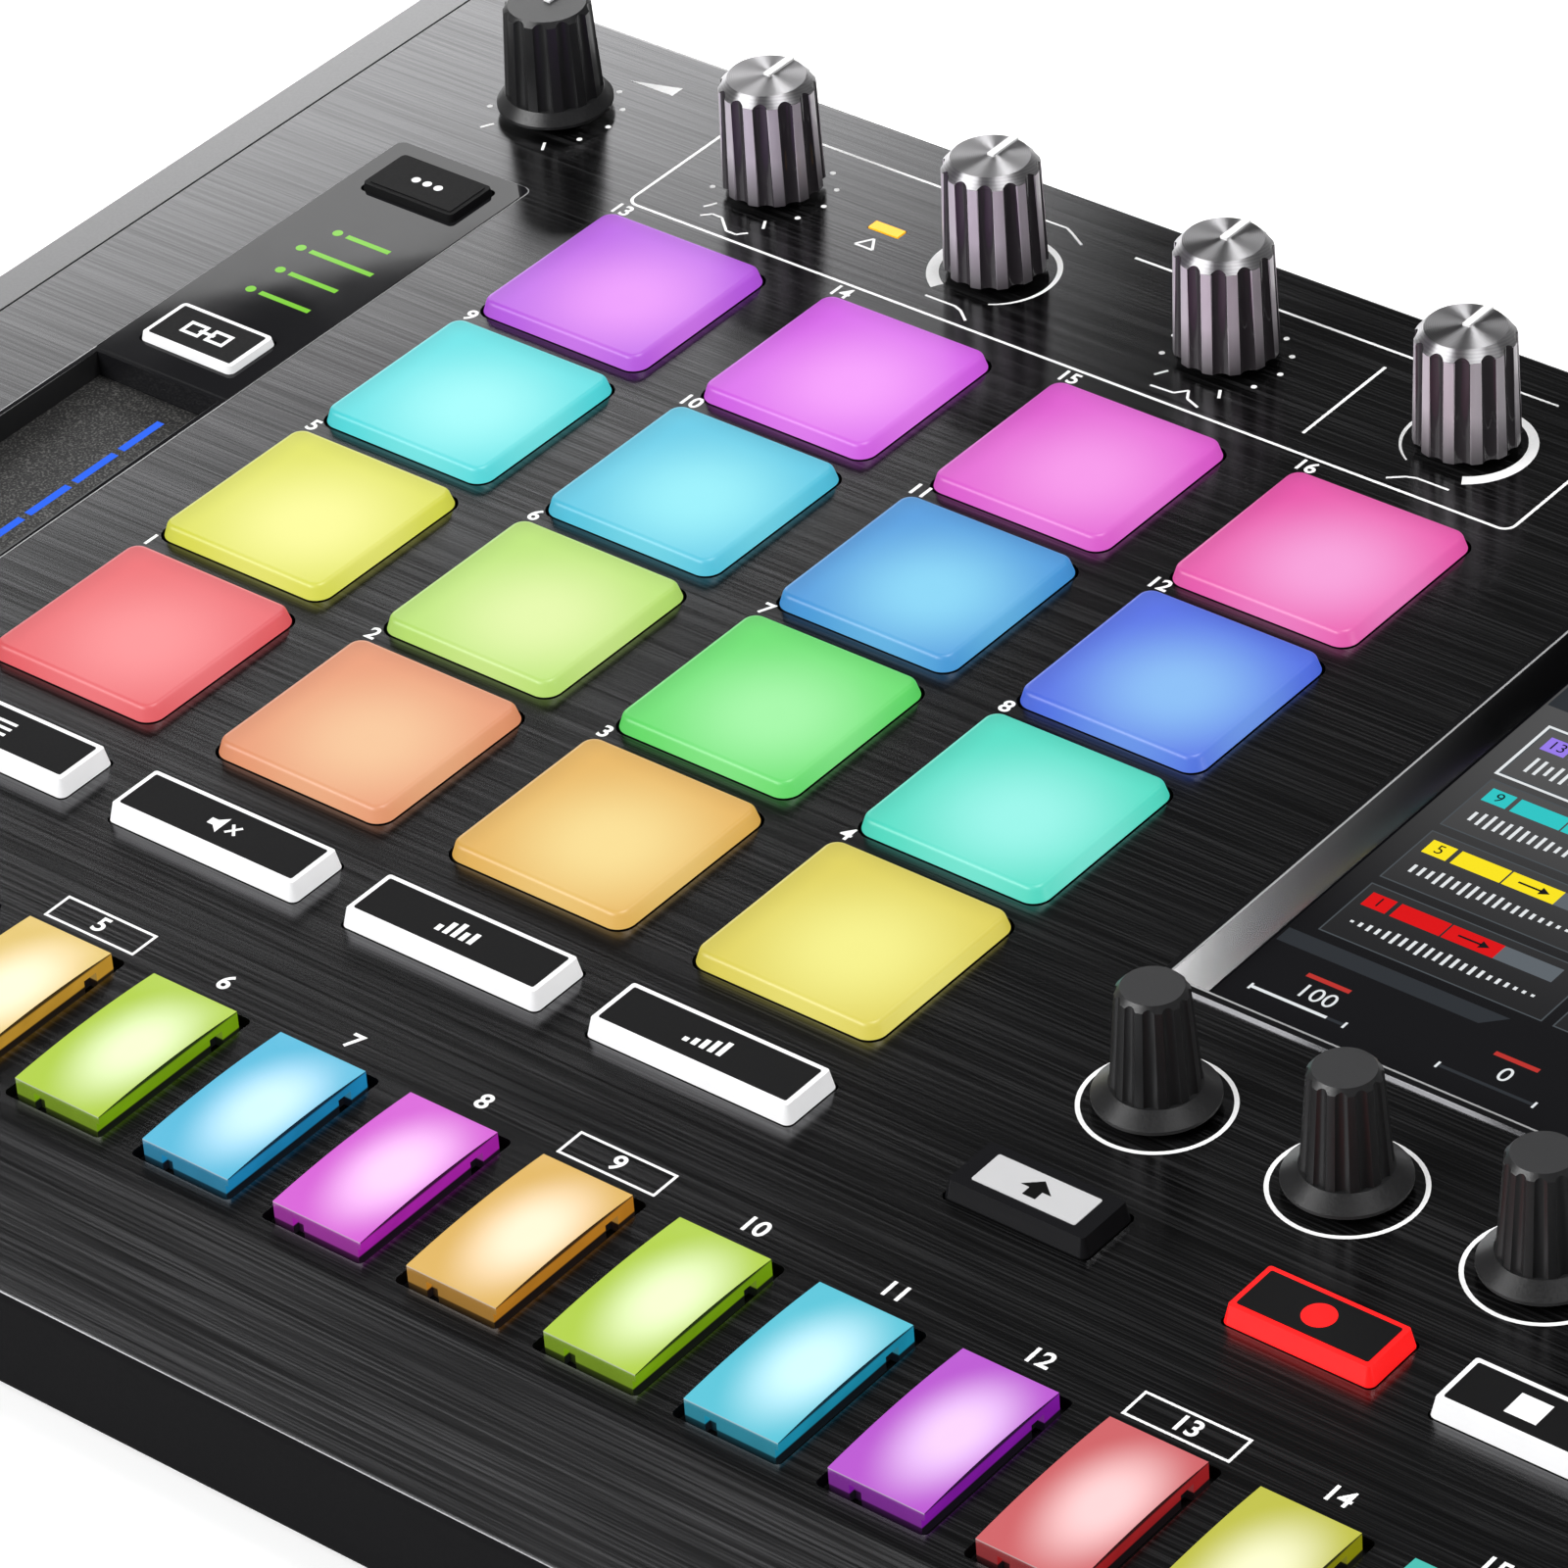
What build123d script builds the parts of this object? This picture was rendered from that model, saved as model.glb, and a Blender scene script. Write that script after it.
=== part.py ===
from build123d import *
import os
from math import atan, atan2, cos, degrees, radians, sin

# Desktop audio sampler: a wedge-shaped case with a tilted aluminium control panel that carries sixteen pads,
# sixteen step keys, rotary controls, buttons, a touch strip and a sunk display.
# Frame: +X right, +Y to the back, +Z up; origin under the middle of the case, on the surface it stands on.
# Panel positions are (u, v): u from the middle to the right, v up the slope from the panel's front bend.

# Case form
RAIL_THICKNESS = 7.6
RAIL_GAP = 0.4
RAIL_CHAMFER = 0.6
PANEL_TILT = 5.0
PANEL_THICKNESS = 2.0
PANEL_BEND = 1.5
BEND_HEIGHT = 32.0
SLOPE_REACH = 21.0
SLOPE_DROP = 10.5
FRONT_LIP = 1.5
REAR_LIP = 8.0
CASE_WALL = 2.4
CASE_FLOOR = 2.5
CASE_EDGE = 1.2
FIT = 0.1

# Layout across the panel, from the left: strip, pads, display
STRIP_MARGIN = 20.3
STRIP_PAD_GAP = 16.5
PAD_DISPLAY_GAP = 23.5
DISPLAY_MARGIN = 4.6

# Layout up the panel, from the front: keys, buttons, then pads and knobs or encoders and display
KEY_MARGIN = 3.9
KEY_BUTTON_GAP = 23.9
BUTTON_PAD_GAP = 9.9
PAD_KNOB_GAP = 13.75
KNOB_MARGIN = 17.8
BUTTON_ENCODER_GAP = 12.5
ENCODER_DISPLAY_GAP = 13.2

# Feet and screws
FOOT_RADIUS = 9.0
FOOT_HEIGHT = 3.5
FOOT_INSET_X = 34.0
FOOT_INSET_Y = 33.8
FOOT_BORE = 3.8
FOOT_BORE_DEPTH = 1.8
SCREW_RADIUS = 1.5
SCREW_CLEARANCE = 0.15
SCREW_HEAD_RADIUS = 2.8
SCREW_HEAD_HEIGHT = 1.6
FOOT_SCREW_LENGTH = 7.0
BOSS_RADIUS = 4.0
BOSS_HEIGHT = 6.0
RAIL_SCREW_LENGTH = 7.0
RAIL_SCREW_SPACING = 90.0
RAIL_SCREW_HEIGHT = 16.0
RAIL_SCREW_COUNT = 3

# Pads
PAD_SIZE = 33.6
PAD_GAP_U = 12.1
PAD_GAP_V = 4.55
PAD_COUNT = 4
PAD_CORNER = 2.9
PAD_HEIGHT = 2.4
PAD_DRAFT = 0.77
PAD_EDGE = 0.9
PAD_CLEARANCE = 0.4
PAD_TRAVEL = 0.8

# Step keys
KEY_WIDTH = 15.9
KEY_DEPTH = 28.9
KEY_ROW_MARGIN = 20.3
KEY_COUNT = 16
KEY_EDGE_HEIGHT = 2.2
KEY_CROWN = 0.6
KEY_CAP_THICKNESS = 1.3
KEY_SKIRT_INSET = 0.6
KEY_LEG = 3.4
KEY_NOTCH = 2.0
KEY_SIDE_GAP = 1.25
KEY_END_GAP = 1.65
KEY_SLOT_CORNER = 1.0
KEY_TRAVEL = 1.2

# Push buttons
BUTTON_DEPTH = 11.2
BUTTON_HEIGHT = 3.0
BUTTON_DRAFT = 0.7
BUTTON_CORNER = 1.2
BUTTON_CLEARANCE = 0.3
BUTTON_TRAVEL = 1.0
BUTTON_GAP = 8.9
TRANSPORT_COUNT = 3
SHIFT_GAP = 22.4
TRANSPORT_INSET = 4.7
TRANSPORT_END_INSET = 15.3
STRIP_BUTTON_MARGIN = 4.4
STRIP_BUTTON_HEIGHT = 1.3
MODE_MARGIN = 4.15
HOLD_MARGIN = 5.5

# Flanges that keep pads, keys and buttons under the panel
FLANGE_REACH = 0.8
FLANGE_THICKNESS = 1.0
FLANGE_GAP = 0.15

# Rotary controls
SHAFT_RADIUS = 3.0
SHAFT_FIT = 0.05
KNOB_FIT = 0.03
SHAFT_FOOT = 1.0
SHAFT_RISE = 12.0
BUSH_RADIUS = 3.6
BUSH_RISE = 0.6
BUSH_CLEARANCE = 0.2
POT_SIZE = 12.0
POT_GAP = 0.3
FILTER_KNOB_RADIUS = 8.5
FILTER_KNOB_TOP_RADIUS = 8.0
FILTER_KNOB_HEIGHT = 21.4
FILTER_KNOB_LIFT = 1.6
FILTER_KNOB_BEVEL = 1.5
MAIN_KNOB_SHIFT = 0.8
MAIN_KNOB_RADIUS = 8.4
MAIN_KNOB_TOP_RADIUS = 7.4
MAIN_KNOB_HEIGHT = 20.4
MAIN_KNOB_LIFT = 1.6
MAIN_KNOB_FLANGE_RADIUS = 9.8
MAIN_KNOB_FLANGE_RISE = 2.4
ENCODER_INSET = 16.9
ENCODER_END_INSET = 12.9
ENCODER_COUNT = 5
ENCODER_RADIUS = 6.7
ENCODER_TOP_RADIUS = 5.3
ENCODER_HEIGHT = 20.4
ENCODER_LIFT = 1.6
ENCODER_FLANGE_RADIUS = 9.2
ENCODER_FLANGE_RISE = 2.4
FLANGE_RIM = 0.5
KNOB_BEVEL = 0.8
BEVEL_SLOPE = 0.9
FLUTE_COUNT = 12
FLUTE_RADIUS_SHARE = 0.22
FLUTE_DEPTH_SHARE = 0.08
POINTER_WIDTH = 1.3
POINTER_RISE = 0.4

# Touch strip with its gloss window
STRIP_WIDTH = 28.6
WINDOW_LENGTH = 75.05
WINDOW_CORNER = 1.5
WINDOW_RISE = 0.2
WINDOW_THICKNESS = 2.2
STRIP_CLEARANCE = 0.15
STRIP_WALL = 0.9
STRIP_DEPTH = 4.5
STRIP_FILM = 0.8
STRIP_FLOOR = 1.5
STRIP_FLANGE = 2.0
STRIP_FLANGE_THICKNESS = 1.0

# Display
DISPLAY_WIDTH = 157.8
DISPLAY_DEPTH = 106.6
BEZEL_WALL = 0.4
BEZEL_RIM_RISE = 0.5
BEZEL_SEAT = 0.8
BEZEL_CLEARANCE = 0.2
BEZEL_SINK = 5.0
BEZEL_SLOPE = 2.6
GLASS_THICKNESS = 1.8
GLUE_LINE = 0.05
LCD_THICKNESS = 5.0
LCD_INSET = 2.0

# Overload lamp
LAMP_SHIFT = 23.4
LAMP_WIDTH = 6.0
LAMP_DEPTH = 2.2
LAMP_CLEARANCE = 0.2
LAMP_RISE = 0.15

# Circuit boards
BOARD_GAP = 0.7
BOARD_THICKNESS = 1.6
BOARD_INSET = 7.0
BOARD_FRONT_INSET = 4.0
BOARD_BACK_INSET = 9.7
BOARD_MARGIN = 3.0
STUD_RADIUS = 2.5
STUD_INSET = 11.0
MAIN_BOARD_WIDTH = 260.0
MAIN_BOARD_DEPTH = 90.0
MAIN_BOARD_INSET = 5.0
MAIN_BOARD_HOLE_INSET = 8.0

# Rear sockets
JACK_BORE = 3.25
JACK_DEPTH = 22.0
JACK_INSET = 44.0
JACK_PITCH = 28.0
JACK_COUNT = 3
INLET_INSET = 40.0
INLET_BORE = 3.2
INLET_PIN = 1.05
INLET_DEPTH = 10.0
SOCKET_WIDTH = 15.0
SOCKET_LENGTH = 26.0
SOCKET_BUSH = 5.4
SOCKET_CLEARANCE = 0.2
SOCKET_NUT = 7.2
SOCKET_NUT_THICKNESS = 1.8

# Places across the panel
PAD_PITCH_U = PAD_SIZE + PAD_GAP_U
PAD_BLOCK = PAD_COUNT * PAD_SIZE + (PAD_COUNT - 1) * PAD_GAP_U
PANEL_HALF = (STRIP_MARGIN + STRIP_WIDTH + STRIP_PAD_GAP + PAD_BLOCK + PAD_DISPLAY_GAP
              + DISPLAY_WIDTH + DISPLAY_MARGIN) / 2
RAIL_INNER = PANEL_HALF + RAIL_GAP
BODY_HALF = RAIL_INNER + RAIL_THICKNESS
CASE_HALF = RAIL_INNER - FIT
STRIP_U = -PANEL_HALF + STRIP_MARGIN + STRIP_WIDTH / 2
PAD_FIRST_U = STRIP_U + STRIP_WIDTH / 2 + STRIP_PAD_GAP + PAD_SIZE / 2
DISPLAY_U = PANEL_HALF - DISPLAY_MARGIN - DISPLAY_WIDTH / 2
KEY_SLOT_WIDTH = KEY_WIDTH + 2 * KEY_SIDE_GAP
KEY_SLOT_DEPTH = KEY_DEPTH + 2 * KEY_END_GAP
KEY_PITCH = (2 * (PANEL_HALF - KEY_ROW_MARGIN) - KEY_SLOT_WIDTH) / (KEY_COUNT - 1)
PAD_BUTTON_WIDTH = PAD_PITCH_U - BUTTON_GAP
PAD_HOLE = PAD_SIZE + 2 * PAD_CLEARANCE
BUTTON_HOLE_DEPTH = BUTTON_DEPTH + 2 * BUTTON_CLEARANCE
STRIP_BUTTON_WIDTH = STRIP_WIDTH - 2 * STRIP_BUTTON_MARGIN
DISPLAY_LEFT = DISPLAY_U - DISPLAY_WIDTH / 2
ENCODER_FIRST_U = DISPLAY_LEFT + ENCODER_INSET
ENCODER_PITCH = (DISPLAY_WIDTH - ENCODER_INSET - ENCODER_END_INSET) / (ENCODER_COUNT - 1)
TRANSPORT_ROW = DISPLAY_WIDTH - TRANSPORT_INSET - TRANSPORT_END_INSET
TRANSPORT_WIDTH = (TRANSPORT_ROW - SHIFT_GAP - (TRANSPORT_COUNT - 1) * BUTTON_GAP) / (TRANSPORT_COUNT + 1)
SHIFT_U = DISPLAY_LEFT + TRANSPORT_INSET + TRANSPORT_WIDTH / 2
RECORD_U = SHIFT_U + TRANSPORT_WIDTH + SHIFT_GAP
TRANSPORT_PITCH = TRANSPORT_WIDTH + BUTTON_GAP
LAMP_U = PAD_FIRST_U + LAMP_SHIFT

# Places up the panel
PAD_PITCH_V = PAD_SIZE + PAD_GAP_V
KEY_V = KEY_MARGIN + KEY_SLOT_DEPTH / 2
BUTTON_FRONT_V = KEY_V + KEY_SLOT_DEPTH / 2 + KEY_BUTTON_GAP
BUTTON_ROW_V = BUTTON_FRONT_V + BUTTON_DEPTH / 2
PAD_FIRST_V = BUTTON_FRONT_V + BUTTON_DEPTH + BUTTON_PAD_GAP + PAD_SIZE / 2
PAD_BACK_V = PAD_FIRST_V + (PAD_COUNT - 1) * PAD_PITCH_V + PAD_SIZE / 2
KNOB_ROW_V = PAD_BACK_V + PAD_KNOB_GAP + FILTER_KNOB_RADIUS
PANEL_LENGTH = KNOB_ROW_V + FILTER_KNOB_RADIUS + KNOB_MARGIN
ENCODER_V = BUTTON_FRONT_V + BUTTON_DEPTH + BUTTON_ENCODER_GAP + ENCODER_FLANGE_RADIUS
DISPLAY_V = ENCODER_V + ENCODER_FLANGE_RADIUS + ENCODER_DISPLAY_GAP + DISPLAY_DEPTH / 2
WINDOW_FRONT_V = PAD_BACK_V - WINDOW_LENGTH
STRIP_LENGTH = PAD_BACK_V - BUTTON_FRONT_V
STRIP_MID_V = (PAD_BACK_V + BUTTON_FRONT_V) / 2
CHANNEL_LENGTH = WINDOW_FRONT_V - BUTTON_FRONT_V
CHANNEL_MID_V = (WINDOW_FRONT_V + BUTTON_FRONT_V) / 2
MODE_V = PAD_BACK_V - MODE_MARGIN - BUTTON_DEPTH / 2
HOLD_V = WINDOW_FRONT_V + HOLD_MARGIN + BUTTON_DEPTH / 2
BOARD_LENGTH = PANEL_LENGTH - BOARD_FRONT_INSET - BOARD_BACK_INSET
BOARD_MID_V = BOARD_FRONT_INSET + BOARD_LENGTH / 2

# Heights and depths
TILT = radians(PANEL_TILT)
CASE_DEPTH = SLOPE_REACH + PANEL_LENGTH * cos(TILT)
FRONT_Y = -CASE_DEPTH / 2
BACK_Y = CASE_DEPTH / 2
BEND_Y = FRONT_Y + SLOPE_REACH
SLOPE_Z = BEND_HEIGHT - SLOPE_DROP
BACK_Z = BEND_HEIGHT + PANEL_LENGTH * sin(TILT)
FLOOR_TOP = FOOT_HEIGHT + CASE_FLOOR
STRIP_BOTTOM = -STRIP_DEPTH - STRIP_FILM - STRIP_FLOOR
BOARD_SINK = BOARD_GAP - STRIP_BOTTOM
BEZEL_DROP_INSET = BEZEL_SEAT + BEZEL_CLEARANCE
BEZEL_RIM = BEZEL_DROP_INSET + BEZEL_WALL
GLASS_TOP = -BEZEL_SINK - GLUE_LINE
MAIN_BOARD_TOP = FLOOR_TOP + BOSS_HEIGHT + BOARD_THICKNESS
SOCKET_Z = MAIN_BOARD_TOP + FIT + SOCKET_WIDTH / 2
CASE_REAR_Y = BACK_Y - PANEL_THICKNESS - FIT
MAIN_BOARD_Y = CASE_REAR_Y - CASE_WALL - MAIN_BOARD_INSET - MAIN_BOARD_DEPTH / 2

# Names of the controls in a row, from the left
FILTER_KNOBS = ("drive_knob", "low_cutoff_knob", "resonance_knob", "high_cutoff_knob")
PAD_BUTTONS = ("track_button", "mute_button", "slice_button", "scale_button")
TRANSPORT_BUTTONS = ("record_button", "stop_button", "play_button")

panel = Plane(origin=(0, BEND_Y, BEND_HEIGHT), x_dir=(1, 0, 0), z_dir=(0, -sin(TILT), cos(TILT)))
side = Plane.YZ
normal = Axis(panel.origin, panel.z_dir)
os.makedirs("parts", exist_ok=True)


def on_panel(u, v, w=0.0):
    """Plane parallel to the control panel, through a panel position and a height w above it."""
    return Plane(origin=panel.from_local_coords((u, v, w)), x_dir=panel.x_dir, z_dir=panel.z_dir)


def inset_path(points, distance):
    """Points of an open path moved to its right by a distance, with mitred corners."""
    turns = [atan2(b[1] - a[1], b[0] - a[0]) for a, b in zip(points, points[1:])]
    moved = []
    for i, (y, z) in enumerate(points):
        first = turns[max(i - 1, 0)]
        last = turns[min(i, len(turns) - 1)]
        middle = (first + last) / 2
        reach = distance / cos((last - first) / 2)
        moved.append((y + reach * sin(middle), z - reach * cos(middle)))
    return moved


def save(part, name):
    """Label a finished piece and write its file."""
    part.label = name
    export_step(part, f"parts/{name}.step")


SKIN = [(FRONT_Y, SLOPE_Z - FRONT_LIP), (FRONT_Y, SLOPE_Z), (BEND_Y, BEND_HEIGHT), (BACK_Y, BACK_Z),
        (BACK_Y, BACK_Z - REAR_LIP)]
PAD_PLACES = [(PAD_FIRST_U + column * PAD_PITCH_U, PAD_FIRST_V + row * PAD_PITCH_V)
              for row in range(PAD_COUNT) for column in range(PAD_COUNT)]
KEY_PLACES = [((n - (KEY_COUNT - 1) / 2) * KEY_PITCH, KEY_V) for n in range(KEY_COUNT)]
ENCODER_PLACES = [(ENCODER_FIRST_U + n * ENCODER_PITCH, ENCODER_V) for n in range(ENCODER_COUNT)]
FILTER_KNOB_PLACES = [(PAD_FIRST_U + n * PAD_PITCH_U, KNOB_ROW_V) for n in range(len(FILTER_KNOBS))]
KNOB_PLACES = [(STRIP_U + MAIN_KNOB_SHIFT, KNOB_ROW_V), *FILTER_KNOB_PLACES]
BUTTONS = {name: (PAD_FIRST_U + n * PAD_PITCH_U, BUTTON_ROW_V, PAD_BUTTON_WIDTH)
           for n, name in enumerate(PAD_BUTTONS)}
BUTTONS["shift_button"] = (SHIFT_U, BUTTON_ROW_V, TRANSPORT_WIDTH)
BUTTONS.update({name: (RECORD_U + n * TRANSPORT_PITCH, BUTTON_ROW_V, TRANSPORT_WIDTH)
                for n, name in enumerate(TRANSPORT_BUTTONS)})
STRIP_BUTTONS = {"mode_button": (STRIP_U, MODE_V, STRIP_BUTTON_WIDTH),
                 "hold_button": (STRIP_U, HOLD_V, STRIP_BUTTON_WIDTH)}
FOOT_PLACES = [(x, y) for x in (FOOT_INSET_X - BODY_HALF, BODY_HALF - FOOT_INSET_X)
               for y in (FRONT_Y + FOOT_INSET_Y, BACK_Y - FOOT_INSET_Y)]
BOARD_SCREW_U = MAIN_BOARD_WIDTH / 2 - MAIN_BOARD_HOLE_INSET
BOARD_SCREW_V = MAIN_BOARD_DEPTH / 2 - MAIN_BOARD_HOLE_INSET
BOARD_SCREW_PLACES = [(x, MAIN_BOARD_Y + y) for x in (-BOARD_SCREW_U, BOARD_SCREW_U)
                      for y in (-BOARD_SCREW_V, BOARD_SCREW_V)]
STUD_COLUMNS = (STUD_INSET - PANEL_HALF, PAD_FIRST_U - (PAD_SIZE + STRIP_PAD_GAP) / 2,
                DISPLAY_U - (DISPLAY_WIDTH + PAD_DISPLAY_GAP) / 2, PANEL_HALF - STUD_INSET)
STUD_ROWS = (BUTTON_FRONT_V - KEY_BUTTON_GAP / 2, PAD_BACK_V + PAD_KNOB_GAP / 2)
STUD_PLACES = [(u, v) for u in STUD_COLUMNS for v in STUD_ROWS]
JACK_XS = [MAIN_BOARD_WIDTH / 2 - JACK_INSET - n * JACK_PITCH for n in reversed(range(JACK_COUNT))]
INLET_X = INLET_INSET - MAIN_BOARD_WIDTH / 2
RAIL_SCREW_YS = [(n - (RAIL_SCREW_COUNT - 1) / 2) * RAIL_SCREW_SPACING for n in range(RAIL_SCREW_COUNT)]

# Top panel: brushed sheet bent down at the front slope and the back, with every control opening
with BuildPart() as top_panel:
    with BuildSketch(side):
        with BuildLine():
            Polyline(*SKIN, *reversed(inset_path(SKIN, PANEL_THICKNESS)), close=True)
        make_face()
    extrude(amount=PANEL_HALF, both=True)
    bends = [top_panel.edges().filter_by(Axis.X).sort_by_distance((0, y, z))[0] for y, z in SKIN[1:4]]
    fillet(bends, PANEL_BEND)
    with BuildSketch(panel):
        with Locations(*PAD_PLACES):
            RectangleRounded(PAD_HOLE, PAD_HOLE, PAD_CORNER)
        with Locations(*KEY_PLACES):
            RectangleRounded(KEY_SLOT_WIDTH, KEY_SLOT_DEPTH, KEY_SLOT_CORNER)
        with Locations(*ENCODER_PLACES, *KNOB_PLACES):
            Circle(BUSH_RADIUS + BUSH_CLEARANCE)
        for u, v, width in BUTTONS.values():
            with Locations((u, v)):
                RectangleRounded(width + 2 * BUTTON_CLEARANCE, BUTTON_HOLE_DEPTH, BUTTON_CORNER)
        with Locations((STRIP_U, STRIP_MID_V)):
            RectangleRounded(STRIP_WIDTH, STRIP_LENGTH, WINDOW_CORNER)
        with Locations((STRIP_U, BUTTON_FRONT_V + WINDOW_CORNER)):
            Rectangle(STRIP_WIDTH, 2 * WINDOW_CORNER)
        with Locations((DISPLAY_U, DISPLAY_V)):
            Rectangle(DISPLAY_WIDTH - 2 * BEZEL_SEAT, DISPLAY_DEPTH - 2 * BEZEL_SEAT)
        with Locations((LAMP_U, KNOB_ROW_V)):
            Rectangle(LAMP_WIDTH + 2 * LAMP_CLEARANCE, LAMP_DEPTH + 2 * LAMP_CLEARANCE)
    extrude(amount=2 * PANEL_THICKNESS, both=True, mode=Mode.SUBTRACT)
    with BuildSketch(on_panel(0, 0, -PANEL_THICKNESS)):
        with Locations(*STUD_PLACES):
            Circle(STUD_RADIUS)
    extrude(amount=-(BOARD_SINK - PANEL_THICKNESS))
save(top_panel.part, "top_panel")

# Lower case: open tray with front, rear and side walls, bosses for the board and holes for sockets and screws
case_line = inset_path(SKIN, PANEL_THICKNESS + FIT)
case_front = case_line[0][0]
with BuildPart() as lower_case:
    with BuildSketch(side):
        with BuildLine():
            Polyline((case_front, FOOT_HEIGHT), *case_line[1:4], (CASE_REAR_Y, FOOT_HEIGHT), close=True)
        make_face()
    extrude(amount=CASE_HALF, both=True)
    low_edges = lower_case.edges().filter_by(Axis.X).group_by(Axis.Z)[0]
    fillet(low_edges, CASE_EDGE)
    with BuildSketch(Plane.XY.offset(FLOOR_TOP)):
        with Locations((0, (case_front + CASE_REAR_Y) / 2)):
            Rectangle(2 * (CASE_HALF - CASE_WALL), CASE_REAR_Y - case_front - 2 * CASE_WALL)
    extrude(amount=BACK_Z, mode=Mode.SUBTRACT)
    with BuildSketch(Plane.XY.offset(FLOOR_TOP)):
        with Locations(*FOOT_PLACES, *BOARD_SCREW_PLACES):
            Circle(BOSS_RADIUS)
    extrude(amount=BOSS_HEIGHT)
    with BuildSketch(Plane.XY.offset(FOOT_HEIGHT)):
        with Locations(*FOOT_PLACES):
            Circle(SCREW_RADIUS + SCREW_CLEARANCE)
    extrude(amount=FOOT_SCREW_LENGTH, mode=Mode.SUBTRACT)
    with BuildSketch(Plane.XY.offset(FLOOR_TOP + BOSS_HEIGHT)):
        with Locations(*BOARD_SCREW_PLACES):
            Circle(SCREW_RADIUS + SCREW_CLEARANCE)
    extrude(amount=-BOSS_HEIGHT, mode=Mode.SUBTRACT)
    with BuildSketch(Plane.XZ.offset(-CASE_REAR_Y)):
        with Locations(*[(x, SOCKET_Z) for x in (*JACK_XS, INLET_X)]):
            Circle(SOCKET_BUSH + SOCKET_CLEARANCE)
    extrude(amount=2 * CASE_WALL, both=True, mode=Mode.SUBTRACT)
    with BuildSketch(side):
        with Locations(*[(y, RAIL_SCREW_HEIGHT) for y in RAIL_SCREW_YS]):
            Circle(SCREW_RADIUS + SCREW_CLEARANCE)
    extrude(amount=CASE_HALF, both=True, mode=Mode.SUBTRACT)
save(lower_case.part, "lower_case")

# Side rails: solid cheeks with the case's side outline, flush with the panel
RAIL_OUTLINE = [(FRONT_Y, FOOT_HEIGHT), *SKIN[1:4], (BACK_Y, FOOT_HEIGHT)]
with BuildPart() as side_rails:
    for start in (RAIL_INNER, -BODY_HALF):
        with BuildSketch(side.offset(start)):
            with BuildLine():
                Polyline(*RAIL_OUTLINE, close=True)
            make_face()
        extrude(amount=RAIL_THICKNESS)
    corners = [side_rails.edges().filter_by(Axis.X).sort_by_distance((x, y, z))[0]
               for y, z in SKIN[1:4] for x in (-BODY_HALF, BODY_HALF)]
    fillet(corners, PANEL_BEND)
    outer = side_rails.faces().filter_by(Axis.X).sort_by(Axis.X)
    chamfer([*outer[0].edges(), *outer[-1].edges()], RAIL_CHAMFER)
    with BuildSketch(side):
        with Locations(*[(y, RAIL_SCREW_HEIGHT) for y in RAIL_SCREW_YS]):
            Circle(SCREW_RADIUS + SCREW_CLEARANCE)
    extrude(amount=CASE_HALF - CASE_WALL + RAIL_SCREW_LENGTH + FIT, both=True, mode=Mode.SUBTRACT)
save(side_rails.part, "side_rails")

# Feet with their screws, and the screws of the rails and the main board
with BuildPart() as feet_and_screws:
    with BuildSketch(Plane.XY):
        with Locations(*FOOT_PLACES):
            Circle(FOOT_RADIUS)
    extrude(amount=FOOT_HEIGHT)
    with BuildSketch(Plane.XY):
        with Locations(*FOOT_PLACES):
            Circle(FOOT_BORE)
    extrude(amount=FOOT_BORE_DEPTH, mode=Mode.SUBTRACT)
    with BuildSketch(Plane.XY):
        with Locations(*FOOT_PLACES):
            Circle(SCREW_RADIUS + SCREW_CLEARANCE)
    extrude(amount=FOOT_HEIGHT, mode=Mode.SUBTRACT)
    for x, y in FOOT_PLACES:
        head_top = FOOT_BORE_DEPTH - FIT
        with Locations(Location((x, y, head_top - SCREW_HEAD_HEIGHT / 2))):
            Cylinder(SCREW_HEAD_RADIUS, SCREW_HEAD_HEIGHT)
        with Locations(Location((x, y, head_top + FOOT_SCREW_LENGTH / 2))):
            Cylinder(SCREW_RADIUS, FOOT_SCREW_LENGTH)
    board_screw_foot = FLOOR_TOP + BOARD_THICKNESS
    board_screw_head = MAIN_BOARD_TOP + FIT
    for x, y in BOARD_SCREW_PLACES:
        with Locations(Location((x, y, board_screw_head + SCREW_HEAD_HEIGHT / 2))):
            Cylinder(SCREW_HEAD_RADIUS, SCREW_HEAD_HEIGHT)
        with Locations(Location((x, y, (board_screw_head + board_screw_foot) / 2))):
            Cylinder(SCREW_RADIUS, board_screw_head - board_screw_foot)
    for y in RAIL_SCREW_YS:
        for hand in (-1, 1):
            head = hand * (CASE_HALF - CASE_WALL - FIT - SCREW_HEAD_HEIGHT / 2)
            shank = hand * (CASE_HALF - CASE_WALL - FIT + RAIL_SCREW_LENGTH / 2)
            with Locations(Location((head, y, RAIL_SCREW_HEIGHT), (0, 90, 0))):
                Cylinder(SCREW_HEAD_RADIUS, SCREW_HEAD_HEIGHT)
            with Locations(Location((shank, y, RAIL_SCREW_HEIGHT), (0, 90, 0))):
                Cylinder(SCREW_RADIUS, RAIL_SCREW_LENGTH)
save(feet_and_screws.part, "feet_and_screws")

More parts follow.
